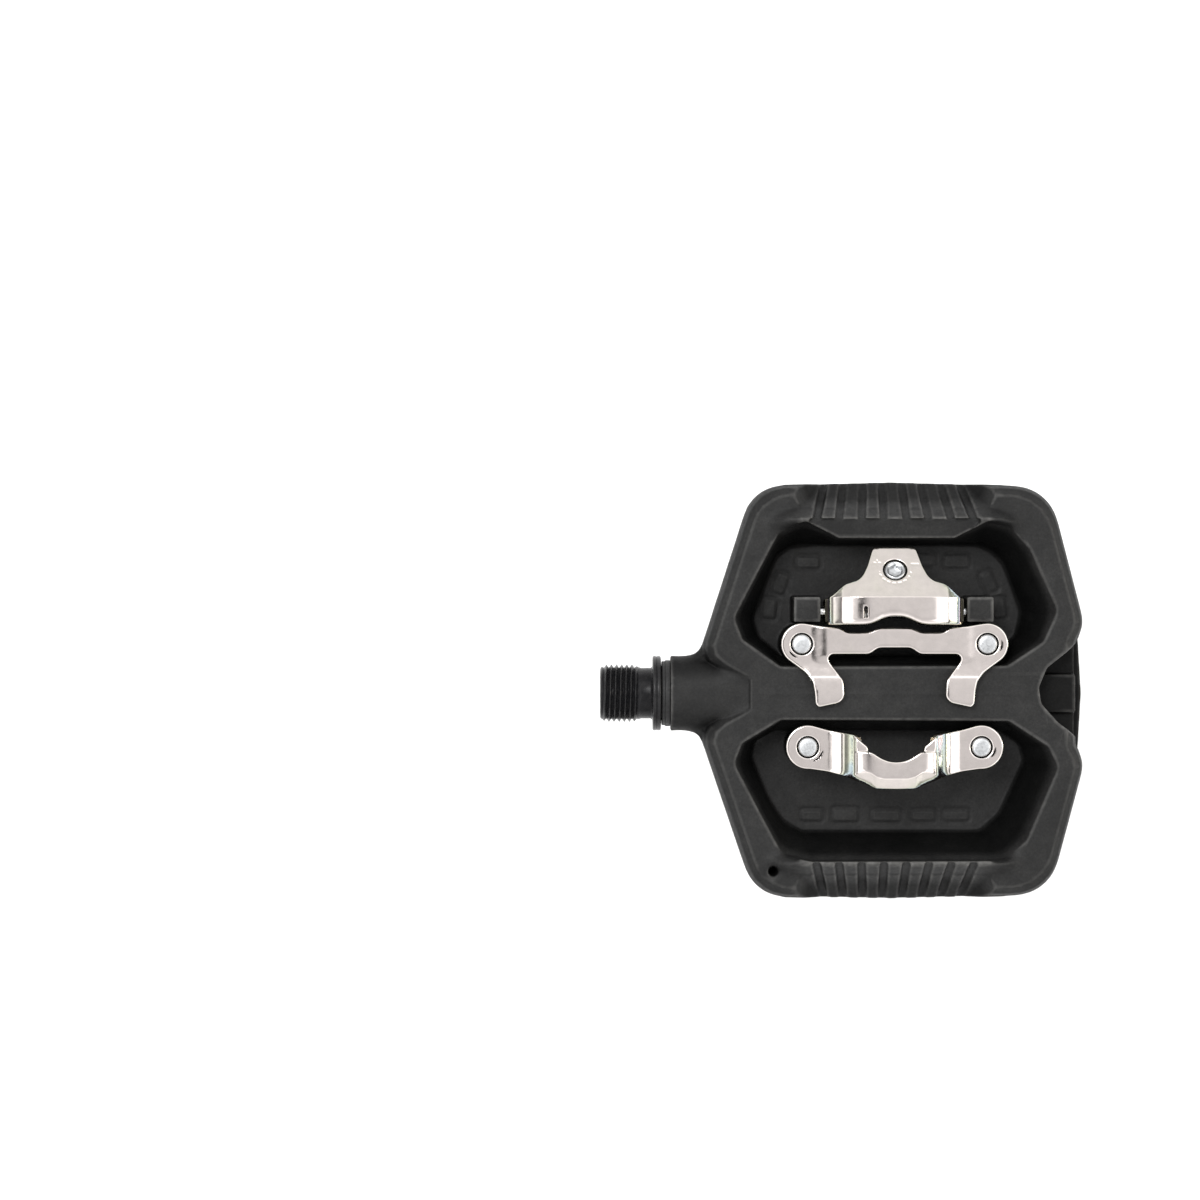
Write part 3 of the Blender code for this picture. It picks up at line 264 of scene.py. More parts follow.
def black_steel_look():
    """Black-oxide turned steel: near black, oily gloss, with fine turning rings round the X axis."""
    look = Look("black_oxide", Metallic=0.1)
    pale_edges = look.maths("MULTIPLY", look.edges(0.52, 0.62), 0.16)
    base = look.ramp(look.noise(800, 4), (0.3, (0.006, 0.006, 0.007)), (0.7, (0.013, 0.0125, 0.013)))
    look.set("Base Color", look.mix(pale_edges, base, (0.1, 0.097, 0.094)))
    look.set("Specular IOR Level", look.maths("MULTIPLY", look.edges(0.44, 0.52), 0.2))
    look.set("Roughness", look.spread(look.noise(1100, 4), 0.2, 0.34))
    look.bump((look.noise(5000, 1, 0.5, (1.0, 0.02, 0.02)), 0.18, 0.00002))
    return look.material


def steel_look(name, colour, rough=(0.2, 0.32), metallic=1.0):
    """Plain ground or drawn metal with a fine grain."""
    look = Look(name, Metallic=metallic)
    dark = tuple(c * 0.8 for c in colour)
    look.set("Base Color", look.ramp(look.noise(1200, 4), (0.3, dark), (0.7, colour)))
    look.set("Roughness", look.spread(look.noise(1900, 3), rough[0], rough[1]))
    look.bump((look.noise(4000, 2), 0.12, 0.00004))
    return look.material


def rubber_look():
    look = Look("seal_rubber", Specular_IOR_Level=0.35)
    look.set("Base Color", look.ramp(look.noise(1500, 3), (0.3, 0.008), (0.7, 0.017)))
    look.set("Roughness", look.spread(look.noise(2500, 3), 0.5, 0.7))
    look.bump((look.noise(3500, 2), 0.3, 0.00005))
    return look.material


BODY_LOOK = moulded_look("moulded_composite", (0.0085, 0.0085, 0.0085), (0.0145, 0.0143, 0.014),
                         (0.1, 0.098, 0.094))
TREAD_LOOK = moulded_look("moulded_tread", (0.0095, 0.0095, 0.0092), (0.0165, 0.016, 0.0153),
                          (0.07, 0.069, 0.066))
PLATED = plated_look()
ZINC = zinc_look("zinc_plate", (0.53, 0.54, 0.55))
ZINC_DULL = zinc_look("zinc_dull", (0.5, 0.5, 0.51), (0.34, 0.5))
BLACK_STEEL = black_steel_look()
SPRING_STEEL = steel_look("spring_steel", (0.3, 0.29, 0.28), (0.25, 0.4))
BEARING_STEEL = steel_look("bearing_steel", (0.62, 0.62, 0.63), (0.12, 0.22))
BRONZE = steel_look("sintered_bronze", (0.46, 0.3, 0.14), (0.4, 0.6), 0.8)
BRASS = steel_look("pressed_brass", (0.6, 0.44, 0.2), (0.3, 0.45))
RUBBER = rubber_look()


# --- pieces ---------------------------------------------------------------------------
def new_mesh(name, bm):
    bmesh.ops.recalc_face_normals(bm, faces=bm.faces)
    mesh = bpy.data.meshes.new(name)
    bm.to_mesh(mesh)
    bm.free()
    return mesh


def evaluated(obj):
    """The object's mesh with its modifiers applied."""
    bpy.context.view_layer.update()
    return bpy.data.meshes.new_from_object(obj.evaluated_get(bpy.context.evaluated_depsgraph_get()))


def piece(name, mesh, body, material, node, sharp=35):
    """Places a mesh made in millimetres as a piece of a body, standing for a CAD node.

    Faces that meet at more than the sharp angle, in degrees, keep a crease; 0 keeps none.
    """
    mesh.transform(Matrix.Scale(MM, 4))
    mesh.materials.clear()
    mesh.materials.append(material)
    mesh.shade_smooth()
    if sharp:
        mesh.set_sharp_from_angle(angle=math.radians(sharp))
    obj = bpy.data.objects.new(name, mesh)
    bpy.context.scene.collection.objects.link(obj)
    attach(obj, body)
    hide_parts(node)


def helper(name, mesh):
    obj = bpy.data.objects.new(name, mesh)
    bpy.context.scene.collection.objects.link(obj)
    obj.hide_render = True
    return obj


def cad_copy(node):
    """The CAD node's mesh in millimetres, as one closed shell."""
    bm = bmesh.new()
    bm.from_mesh(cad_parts[node].data)
    bmesh.ops.transform(bm, matrix=Matrix.Scale(1 / MM, 4), verts=bm.verts)
    bmesh.ops.remove_doubles(bm, verts=bm.verts, dist=0.0005)
    mesh = bpy.data.meshes.new(node + "_copy")
    bm.to_mesh(mesh)
    bm.free()
    return mesh


# --- moulded pieces: the CAD shape with softened edges ----------------------------------
def field(data, key, width=3, kind=np.float32):
    """One value of every item of a mesh collection, as an array."""
    values = np.empty(len(data) * width, kind)
    data.foreach_get(key, values)
    return values.reshape(-1, width)


class Skin:
    """A dense closed mesh as arrays, with the smoothing and measuring done on it."""

    def __init__(self, mesh):
        self.mesh = mesh
        self.co = field(mesh.vertices, "co").astype(float)
        self.ends = field(mesh.edges, "vertices", 2, np.int32)

    def averaged(self, co, keep=None):
        """Each point's neighbours' mean place, or only for the points to keep."""
        a, b = self.ends.T
        if keep is not None:
            near = keep[a] | keep[b]
            a, b = a[near], b[near]
        n = len(co)
        count = np.maximum(np.bincount(a, minlength=n) + np.bincount(b, minlength=n), 1)
        sums = [np.bincount(a, co[b, k], n) + np.bincount(b, co[a, k], n) for k in range(co.shape[1])]
        return np.stack(sums, 1) / count[:, None]

    def even_out(self, rounds):
        for _ in range(rounds):
            self.co = 0.5 * (self.co + self.averaged(self.co))

    def round_off(self, share, rounds, axes=2):
        """Evens out the plan (2 axes) or the shape (3 axes) where share is above zero."""
        keep = share > 0
        for _ in range(rounds):
            moved = self.averaged(self.co[:, :axes], keep) - self.co[:, :axes]
            self.co[keep, :axes] += (0.7 * share[:, None] * moved)[keep]

    def convexity(self):
        """How far each point stands proud of its smoothed surroundings, in millimetres."""
        soft = self.co
        for _ in range(10):
            soft = 0.5 * (soft + self.averaged(soft))
        self.mesh.vertices.foreach_set("co", self.co.astype(np.float32).ravel())
        self.mesh.update()
        normals = field(self.mesh.vertices, "normal")
        proud = ((self.co - soft) * normals).sum(1)[:, None]
        for _ in range(2):
            proud = 0.5 * (proud + self.averaged(proud))
        return proud[:, 0]


def drop_strays(mesh):
    """Keeps the largest connected shell: thinning can leave loose faces."""
    bm = bmesh.new()
    bm.from_mesh(mesh)
    left, shells = set(bm.faces), []
    while left:
        shell = [left.pop()]
        for face in shell:
            near = {other for edge in face.edges for other in edge.link_faces} & left
            left -= near
            shell += near
        shells.append(shell)
    shells.sort(key=len)
    bmesh.ops.delete(bm, geom=[face for shell in shells[:-1] for face in shell], context="FACES")
    bm.to_mesh(mesh)
    bm.free()


def moulded(node, voxel, soften, faces, shape=None):
    """A closed, softened skin over a CAD node with its convexity stored, at most a number of faces."""
    obj = helper(node + "_skin", cad_copy(node))
    remesh = obj.modifiers.new("skin", "REMESH")
    remesh.mode = "VOXEL"
    remesh.voxel_size = voxel
    skin = Skin(evaluated(obj))
    if shape:
        shape(skin)
    skin.even_out(soften)
    proud = skin.convexity()
    tree = kdtree.KDTree(len(skin.co))
    for i, at in enumerate(skin.co):
        tree.insert(at, i)
    tree.balance()
    obj.modifiers.clear()
    obj.data = skin.mesh
    thin = obj.modifiers.new("thin", "DECIMATE")
    thin.ratio = min(1.0, faces / (2.0 * len(skin.mesh.polygons)))
    made = evaluated(obj)
    bpy.data.objects.remove(obj)
    drop_strays(made)
    values = [proud[tree.find(v.co)[1]] for v in made.vertices]
    made.attributes.new("proud", "FLOAT", "POINT").data.foreach_set("value", values)
    return made


def box_distance(x, y, centre, half, radius, turn):
    """Signed distance from points to a turned rounded rectangle."""
    c, s = math.cos(turn), math.sin(turn)
    dx, dy = x - centre[0], y - centre[1]
    u, v = np.abs(c * dx + s * dy) - half[0] + radius, np.abs(-s * dx + c * dy) - half[1] + radius
    return np.hypot(np.maximum(u, 0), np.maximum(v, 0)) + np.minimum(np.maximum(u, v), 0) - radius


POCKET_MARKS = [   # centre, half sizes and turn of the faint outlines in the pocket floors
    ((38.9, 32.5), (3.2, 1.8), 0), ((67.4, 33.1), (3.1, 1.9), 0), ((75.9, 32.8), (3.5, 2.0), 0),
    ((32.0, 27.3), (1.9, 2.9), -0.35), ((29.3, 21.0), (2.0, 2.8), -0.1), ((84.0, 27.7), (1.9, 2.9), 0.42),
    ((86.5, 21.1), (2.1, 2.8), 0.12), ((39.7, -30.6), (3.0, 1.7), 0), ((48.2, -30.5), (3.5, 2.0), 0),
    ((58.3, -30.7), (3.9, 1.8), 0), ((67.6, -30.6), (3.3, 1.7), 0), ((75.8, -30.6), (3.4, 1.7), 0)]


def press_marks(co):
    """Presses the faint rounded outlines into the pocket floors."""
    x, y, z = co.T
    depth = np.zeros(len(co))
    for centre, half, turn in POCKET_MARKS:
        near = np.abs(box_distance(x, y, centre, half, 1.0, turn))
        depth = np.maximum(depth, np.clip(1 - near / 0.45, 0, 1))
    co[:, 2] -= np.where(np.abs(z - FLOOR_Z) < 0.4, 0.42 * depth * depth * (3 - 2 * depth), 0)


def outer_walls(co):
    """1 on the body's outer side walls, falling to 0 towards the ribs, the notch and the faces."""
    x, y, z = co.T
    middle = np.hypot((x - 60) / 40, y / 44)
    share = np.clip((middle - 0.97) / 0.06, 0, 1)
    share *= np.clip((z + 9.2) / 0.8, 0, 1) * np.clip((7.5 - z) / 3, 0, 1)
    share *= np.clip((np.abs(z + 3) - 0.2) / 0.6, 0, 1)
    ribs = (np.abs(y) > 41) & (np.abs(x - CENTRE_X) < 27) & (z > -3.2)
    notch = (np.abs(y) < 14) & (x > 92) & (z > -3.2)
    boss = (np.abs(y) < 13) & (x < 20)
    return np.where(ribs | notch | boss, 0.0, share)


def rim_ends(co):
    """1 where the four ends of the rims run out over the deck."""
    x, y, z = co.T
    side = np.abs(np.abs(x - 59.5) - 28.5)
    return eased((5.5 - side) / 2) * eased((4.5 - np.abs(np.abs(y) - 41.5)) / 2) * eased((z - 8.9) / 0.3)


def boss_barrel(co):
    """1 on the outside of the boss, fading where the webs and the beam begin."""
    x, y, z = co.T
    radius = np.hypot(y, z)
    share = eased((x - 5) / 1.2) * eased((radius - 8.1) / 0.3) * eased((9.9 - radius) / 0.3)
    top = eased((6.5 - np.abs(y)) / 2) * eased((z - 7) / 0.5) * eased((24 - x) / 4)
    return share * np.maximum(eased((13 - x) / 3), top)


def shape_body(skin):
    """Rounds the boss, the outer walls and the rim ends, and presses the pocket floors."""
    skin.round_off(boss_barrel(skin.co), 90, 3)
    skin.round_off(outer_walls(skin.co), 110)
    skin.round_off(rim_ends(skin.co), 60, 3)
    press_marks(skin.co)


# --- bent sheets ------------------------------------------------------------------------
def arc(x, y, radius, start, end, steps):
    angles = [math.radians(start + (end - start) * k / steps) for k in range(steps + 1)]
    return [(x + radius * math.cos(a), y + radius * math.sin(a)) for a in angles]


def mirrored(half):
    """A whole outline from its +X half, listed from the rear centre to the front centre."""
    return half + [(-x, y) for x, y in half[::-1] if x > 1e-6]


def softened(points, radius):
    """The outline with its corners rounded, cutting back at most a radius along each side."""
    out = []
    n = len(points)
    for i, p in enumerate(points):
        here, a, b = Vector(p), Vector(points[i - 1]), Vector(points[(i + 1) % n])
        la, lb = (a - here).length, (b - here).length
        back = min(radius, 0.45 * la, 0.45 * lb)
        start, end = here + (a - here) * (back / la), here + (b - here) * (back / lb)
        for k in range(5):
            t = k / 4
            out.append(tuple(start * (1 - t) ** 2 + here * (2 * t * (1 - t)) + end * t * t))
    return out


def spaced(points, step):
    """The closed outline resampled so that no gap is longer than step."""
    out = []
    for i, p in enumerate(points):
        q = points[(i + 1) % len(points)]
        parts = max(1, math.ceil(math.dist(p, q) / step))
        out += [(p[0] + (q[0] - p[0]) * k / parts, p[1] + (q[1] - p[1]) * k / parts) for k in range(parts)]
    clean = [out[0]]
    for p in out[1:]:
        if math.dist(p, clean[-1]) > 0.02:
            clean.append(p)
    return clean


def inside(points, loops):
    """Even-odd test of points against closed loops."""
    hit = np.zeros(len(points), bool)
    x, y = points[:, 0], points[:, 1]
    for loop in loops:
        a = np.array(loop)
        b = np.roll(a, -1, 0)
        for (x0, y0), (x1, y1) in zip(a, b):
            if y0 != y1:
                cross = (y0 > y) != (y1 > y)
                hit ^= cross & (x < (x1 - x0) * (y - y0) / (y1 - y0) + x0)
    return hit


def loop_distance(points, loop):
    """Distance from points to a closed loop."""
    best = np.full(len(points), 1e9)
    a = np.array(loop)
    for p, q in zip(a, np.roll(a, -1, 0)):
        d = q - p
        t = np.clip(((points - p) @ d) / max(d @ d, 1e-12), 0, 1)
        best = np.minimum(best, np.hypot(*(points - p - t[:, None] * d).T))
    return best


def edge_rings(loop, reach):
    """Points beside a loop at a few shares of a reach, on both sides."""
    a = np.array(loop)
    line = np.roll(a, -1, 0) - np.roll(a, 1, 0)
    normal = np.stack([-line[:, 1], line[:, 0]], 1) / np.hypot(*line.T)[:, None]
    return [a + normal * share * reach for s in EDGE_SHARES for share in (-s, s)]


def edge_drop(distance, radius):
    """How far a rolled edge of a radius falls at a distance from the edge."""
    return radius * (1 - np.sqrt(1 - 0.98 * np.clip(1 - distance / radius, 0, 1) ** 2))


def grid_points(low, high, step):
    return np.stack(np.meshgrid(np.arange(low[0], high[0], step), np.arange(low[1], high[1], step)),
                    -1).reshape(-1, 2)


def sheet_mesh(name, outline, holes, surface, thickness, roll=0.4, step=0.36, fine=(), folds=(),
               hole_rolls=()):
    """A stamped sheet: a flat outline with holes, laid on a surface, with rolled edges.

    surface(points) gives the places of the sheet's top, and the underside lies a thickness
    below it along its normal. fine lists (centre, radius) where the mesh is denser, and
    folds are straight lines (x0, y0, x1, y1) that get rows of points beside them.
    """
    loops = [spaced(outline, step)] + [spaced(hole, step * 0.8) for hole in holes]
    edges, start = [], 0
    for loop in loops:
        edges += [(start + i, start + (i + 1) % len(loop)) for i in range(len(loop))]
        start += len(loop)
    corners = np.array([p for loop in loops for p in loop])
    rolls = [roll, *hole_rolls]
    rings = np.concatenate([points for loop, reach in zip(loops, rolls) if reach > SHARP_ROLL
                            for points in edge_rings(loop, reach)])
    low, high = corners.min(0), corners.max(0)
    grid = grid_points(low, high, step * 1.6)
    for centre, radius in fine:
        centre = np.array(centre)
        far = np.hypot(*(grid - centre).T) > radius
        dense = grid_points(centre - radius, centre + radius, 0.2)
        grid = np.concatenate([grid[far], dense[np.hypot(*(dense - centre).T) < radius]])
    for x0, y0, x1, y1 in folds:
        length = math.hypot(x1 - x0, y1 - y0)
        t = np.arange(0, length, step)[:, None] / length
        line = np.array((x0, y0)) * (1 - t) + np.array((x1, y1)) * t
        side, ahead = np.array((y0 - y1, x1 - x0)) / length, np.array((x1 - x0, y1 - y0)) / length
        away, run = np.abs((grid - (x0, y0)) @ side), (grid - (x0, y0)) @ ahead
        clear = (away > 0.81) | (run < 0) | (run > length)
        grid = np.concatenate([grid[clear]] + [line + side * d for d in FOLD_ROWS])

    def shares(points):
        """Distance from each edge, counted in that edge's own roll."""
        return np.stack([loop_distance(points, loop) / reach for loop, reach in zip(loops, rolls)])

    def to_edge(points):
        return shares(points).min(0)

    rings, grid = rings[inside(rings, loops)], grid[inside(grid, loops)]
    off = np.min(np.abs(to_edge(rings)[:, None] - np.array(EDGE_SHARES)), 1)
    points = np.concatenate([corners, rings[off < 0.05], grid[to_edge(grid) > 1.5]])
    spots = [Vector(p) for p in points]
    verts, _, faces, _, _, _ = geometry.delaunay_2d_cdt(spots, edges, [], 0, 1e-4, False)
    flat = np.array([tuple(v) for v in verts])
    kept = inside(flat[np.array(faces)].mean(1), loops)
    faces = [face for face, keep in zip(faces, kept) if keep]
    top = surface(flat)
    across = surface(flat + (0.02, 0)) - surface(flat - (0.02, 0))
    along_y = surface(flat + (0, 0.02)) - surface(flat - (0, 0.02))
    normal = np.cross(across, along_y)
    normal /= np.linalg.norm(normal, axis=1)[:, None]
    near = shares(flat)
    distance, reach = near.min(0), np.array(rolls)[near.argmin(0)]
    upper = top - normal * (reach * edge_drop(distance, 1))[:, None]
    lower = top - normal * (thickness - 0.5 * reach * edge_drop(2 * distance, 1))[:, None]
    bm = bmesh.new()
    up, down = [bm.verts.new(p) for p in upper], [bm.verts.new(p) for p in lower]
    for a, b, c in faces:
        bm.faces.new((up[a], up[b], up[c]))
        bm.faces.new((down[c], down[b], down[a]))
    bm.verts.index_update()
    rim = [[v.index for v in edge.verts] for edge in bm.edges
           if edge.is_boundary and edge.verts[0].index < len(up)]
    for i, j in rim:
        bm.faces.new((up[i], up[j], down[j], down[i]))
    bmesh.ops.delete(bm, geom=[v for v in bm.verts if not v.link_faces], context="VERTS")
    return new_mesh(name, bm)


def hinge(u, radius):
    """Zero for u below 0 and u above it, with a bend of about a radius between the two."""
    return 0.5 * (u + np.sqrt(u * u + radius * radius))


def eased(t):
    """From 0 to 1, with soft ends."""
    t = np.clip(t, 0, 1)
    return t * t * (3 - 2 * t)


def cut_corners(points, rounds=3):
    """A line of points with its corners cut, its ends kept, as an array."""
    line = np.array(points, float)
    for _ in range(rounds):
        a, b = line[:-1], line[1:]
        middle = np.stack([a * 0.75 + b * 0.25, a * 0.25 + b * 0.75], 1).reshape(-1, line.shape[1])
        line = np.concatenate([line[:1], middle, line[-1:]])
    return line


def crescents(places, marks):
    """Narrow curved slots beside the two screws of a plate: (side, radius, from, to in degrees)."""
    loops = []
    for side, radius, start, end in marks:
        turns = [k / 14 for k in range(15)]
        wide = [SLOT_HALF * math.sqrt(math.sin(math.pi * t)) for t in turns]
        angles = [math.radians(start + (end - start) * t) for t in turns]
        rim = list(zip(wide, angles)) + [(-w, a) for w, a in list(zip(wide, angles))[-2:0:-1]]
        loops.append([(side * places[0] + (radius + w) * math.cos(a), places[1] + (radius + w) * math.sin(a))
                      for w, a in rim])
    return loops


def screw_areas(places):
    """Where the mesh of a plate is denser: (centre, radius) round each of its two screws."""
    return [((sign * places[0], places[1]), 5.4) for sign in (-1, 1)]


def screw_openings(places):
    return [arc(sign * places[0], places[1], SCREW_HOLE_R, 0, 348, 29) for sign in (-1, 1)]


def stop_plate():
    """The cleat plate: two ears on the rear screws and two legs over the beam."""
    half = [(0, 16.2), (4.0, 16.2), (6.6, 15.1), (11.6, 15.1), (13.6, 16.3), (17.5, 16.6)]
    half += arc(*REAR_SCREWS, REAR_EAR_R, 100, -48, 14)
    half += [(21.9, 5.4), (20.2, 3.2), (19.7, 0.5), (19.5, -2.4), (18.7, -3.2), (13.6, -2.1), (12.4, -0.8),
             (12.6, 3.5), (16.2, 8.1), (16.2, 9.1), (15.4, 9.84), (6.2, 9.84), (4.0, 11.4), (0, 11.4)]
    rise = cut_corners(LEG_RISE)

    def surface(p):
        x, y = np.abs(p[:, 0]), p[:, 1]
        crown = PLATE_CROWN * eased((20.8 - x) / 4.4) * eased((y - 7.0) / 2.5)
        z = PLATE_TOP + np.interp(y, *rise.T) + crown
        return np.stack([CENTRE_X + p[:, 0], y, z], 1)

    holes = screw_openings(REAR_SCREWS) + crescents(REAR_SCREWS, STOP_SLOTS)
    mesh = sheet_mesh("cleat_stop_plate", softened(mirrored(half), 0.9), holes, surface, PLATE_T,
                      folds=[(12, 4.1, 22, 4.1), (-22, 4.1, -12, 4.1)], fine=screw_areas(REAR_SCREWS),
                      hole_rolls=(SCREW_ROLL, SCREW_ROLL, SHARP_ROLL, SHARP_ROLL))
    piece("stop_plate_plated", mesh, "pedal", PLATED, "cleat_stop_plate", sharp=50)


def front_hoop():
    """The fixed front claw: two ears and a raised hoop with a lip that holds the nose of the cleat."""
    half = [(0, -16.5), (1.8, -16.3), (3.6, -15.6), (5.6, -14.3), (6.8, -13.8), (6.9, -12.8), (10.6, -9.7)]
    half += [(13.0, -9.4), (16.4, -8.8)] + arc(*FRONT_SCREWS, FRONT_EAR_R, 105, -95, 18)
    outer = [(16.5, -19.0), (13.4, -19.9), (9.4, -21.5), (4.9, -23.2), (0, -23.3)]
    section = cut_corners(HOOP_SECTION)
    crease = cut_corners(HOOP_CREASE, 1)
    front_edge = cut_corners(outer[::-1])
    flap_x, flap_y, flap_z = HOOP_FLAP

    def surface(p):
        x, y = np.abs(p[:, 0]), p[:, 1]
        lift = np.interp(x, *section.T)
        flap = eased((y - flap_y) / 0.35 + 0.5) * eased((flap_x - x) / 0.35)
        lift += flap * (flap_z - lift)
        lip = HOOP_FALL * hinge(np.interp(x, *crease.T) - y, 0.1)
        curl = hinge(np.interp(x, *front_edge.T) + 1.0 - y, 0.5)
        curl *= eased((x - 4.5) / 4) * eased((15.0 - x) / 4)
        z = PLATE_TOP + lift - np.minimum(lip, lift) - 0.8 * curl
        return np.stack([CENTRE_X + p[:, 0], y, z], 1)

    folds = [(-4, -20.5, 4, -20.5), (4, -20.5, 7.3, -18.5), (-7.3, -18.5, -4, -20.5)]
    folds += [(sign * x, -22, sign * x, -8) for x in (9.7, 11.4, 13.2) for sign in (-1, 1)]
    folds += [(-9.6, flap_y, -6.5, flap_y), (6.5, flap_y, 9.6, flap_y)]
    holes = screw_openings(FRONT_SCREWS) + crescents(FRONT_SCREWS, HOOP_SLOTS)
    mesh = sheet_mesh("front_claw", softened(mirrored(half + outer), 0.8), holes, surface, PLATE_T,
                      folds=folds, fine=screw_areas(FRONT_SCREWS),
                      hole_rolls=(SCREW_ROLL, SCREW_ROLL, SHARP_ROLL, SHARP_ROLL))
    piece("front_hoop_plated", mesh, "pedal", PLATED, "front_claw", sharp=50)


def adjuster_marks(p):
    """The stamped scale under the tension screw: a dashed half ring, a plus and a minus."""
    x, y = p[:, 0], (p[:, 1] - ADJ_Y) / math.cos(CLAW_SLOPE)
    angle = np.degrees(np.arctan2(y, x))
    dashes = (angle < -10) & (angle > -170) & (np.abs((angle + 5) % 20 - 10) < 7)
    marks = dashes * np.clip(1.4 - np.abs(np.hypot(x, y) - 3.95) / 0.25, 0, 1)
    for cx, cy, half_x, half_y in ((4.9, 1.6, 0.9, 0.1), (-4.3, 1.9, 0.8, 0.1), (-4.3, 1.9, 0.1, 0.8)):
        stroke = np.maximum(np.abs(x - cx) - half_x, np.abs(y - cy) - half_y)
        marks = np.maximum(marks, np.clip(1 - stroke / 0.2, 0, 1))
    return marks


def rear_claw():
    """The sprung rear claw: an arched lip, rolled shoulders, two cheeks on the pin and a sloping tab."""
    half = [(0, 36.35), (4.8, 36.35), (5.5, 35.7), (6.8, 31.6), (8.1, 29.1), (9.4, 28.0), (12.4, 27.2),
            (14.2, 25.9), (15.8, 24.6), (18.5, 23.6), (22.5, 23.4)]
    half += arc(EYE_AT, PIN_Y, EYE_R, 78, -78, 12)
    half += [(22.5, 17.2), (14.0, 17.0), (8.0, 17.0), (6.2, 17.2), (4.7, 17.8), (3.0, 18.6), (1.4, 19.0),
             (0, 19.05)]
    section = cut_corners(CLAW_SECTION)
    along_sheet = np.concatenate([[0], np.cumsum(np.hypot(*np.diff(section, axis=0).T))])
    lip = np.array([(x, y) for x, y in half[::-1] if y < 21 and x < 22.6])

    def surface(p):
        u, y = np.abs(p[:, 0]), p[:, 1]
        x = np.interp(u, along_sheet, section[:, 0]) * np.sign(p[:, 0] + 1e-12)
        z = np.interp(u, along_sheet, section[:, 1])
        z = z - math.tan(CLAW_SLOPE) * hinge(y - CLAW_BEND_Y, 0.02)
        z = z - 0.5 * hinge(np.interp(u, *lip.T) + 0.85 - y, 0.15) * np.clip((15.5 - u) / 3, 0, 1)
        z = z - 0.07 * adjuster_marks(p)
        return np.stack([CENTRE_X + x, y, CLAW_TOP + z], 1)

    hole = [(x, ADJ_Y + y * math.cos(CLAW_SLOPE)) for x, y in arc(0, 0, 3.0, 0, 348, 29)]
    eye = arc(EYE_AT, PIN_Y, PIN_R + 0.3, 0, 345, 23)
    x, y, across, up = CLAW_SLIT
    slit = arc(x, y + up - across, across, 0, 180, 6) + [(x - across, y - up), (x + across, y - up)]
    holes = [hole, eye, [(-x, y) for x, y in eye], slit]
    mesh = sheet_mesh("rear_claw", softened(mirrored(half), 0.9), holes, surface, PLATE_T,
                      fine=[((0, ADJ_Y), 6.4)], folds=[(-20, CLAW_BEND_Y, 20, CLAW_BEND_Y)],
                      hole_rolls=(0.15, 0.2, 0.2, 0.1))
    piece("rear_claw_plated", mesh, "rear_claw", PLATED, "rear_claw", sharp=28)


# --- turned and threaded pieces -------------------------------------------------------------
def polygon_radius(sides, flats):
    """Radius of a regular polygon, by angle."""
    step = 2 * math.pi / sides

    def radius(angle):
        part = (angle + step / 2) % step - step / 2
        return flats / 2 / math.cos(part)
    return radius


def lobed_radius(outer, inner):
    """Radius of a six-lobed drive, by angle."""
    mean, swing = (outer + inner) / 2, (outer - inner) / 2
    return lambda angle: mean + swing * math.cos(6 * angle)


def turned_mesh(name, rings, steps=72, close_start=True, close_end=True):
    """A solid about the X axis. rings: (x, radius), where radius is a number or a function of angle.

    The rings run along the whole outline, and may turn inwards to a socket.
    """
    bm = bmesh.new()
    rows = []
    for x, radius in rings:
        row = []
        for k in range(steps):
            a = 2 * math.pi * k / steps
            r = radius(a) if callable(radius) else radius
            row.append(bm.verts.new((x, r * math.cos(a), r * math.sin(a))))
        rows.append(row)
    for low, high in zip(rows, rows[1:]):
        for k in range(steps):
            j = (k + 1) % steps
            bm.faces.new((low[k], low[j], high[j], high[k]))
    for row, wanted in ((rows[0], close_start), (rows[-1], close_end)):
        if wanted:
            bm.faces.new(row)
    if not close_start:
        for k in range(steps):
            j = (k + 1) % steps
            bm.faces.new((rows[-1][k], rows[-1][j], rows[0][j], rows[0][k]))
    return new_mesh(name, bm)


def thread_rings(start, end, crest, root, pitch, hand, taper=1.2, per_turn=10):
    """Rings of a screw thread from start to end, fading out over a taper at both ends."""
    rings = []
    count = int(abs(end - start) / pitch * per_turn)
    for k in range(count + 1):
        x = start + (end - start) * k / count
        fade = min(1.0, abs(x - start) / taper, abs(x - end) / taper)

        def radius(angle, x=x, fade=fade):
            phase = (x / pitch + hand * angle / (2 * math.pi)) % 1
            wave = abs(2 * phase - 1)
            ridge = min(1, max(0, (wave - 0.12) / 0.76))
            return root + (crest - root) * ridge * (0.25 + 0.75 * fade)
        rings.append((x, radius))
    return rings


def along(direction, at):
    """The matrix that turns the X axis to a direction and moves it to a place."""
    turn = Vector(direction).to_track_quat("X", "Z").to_matrix().to_4x4()
    return Matrix.Translation(Vector(at)) @ turn


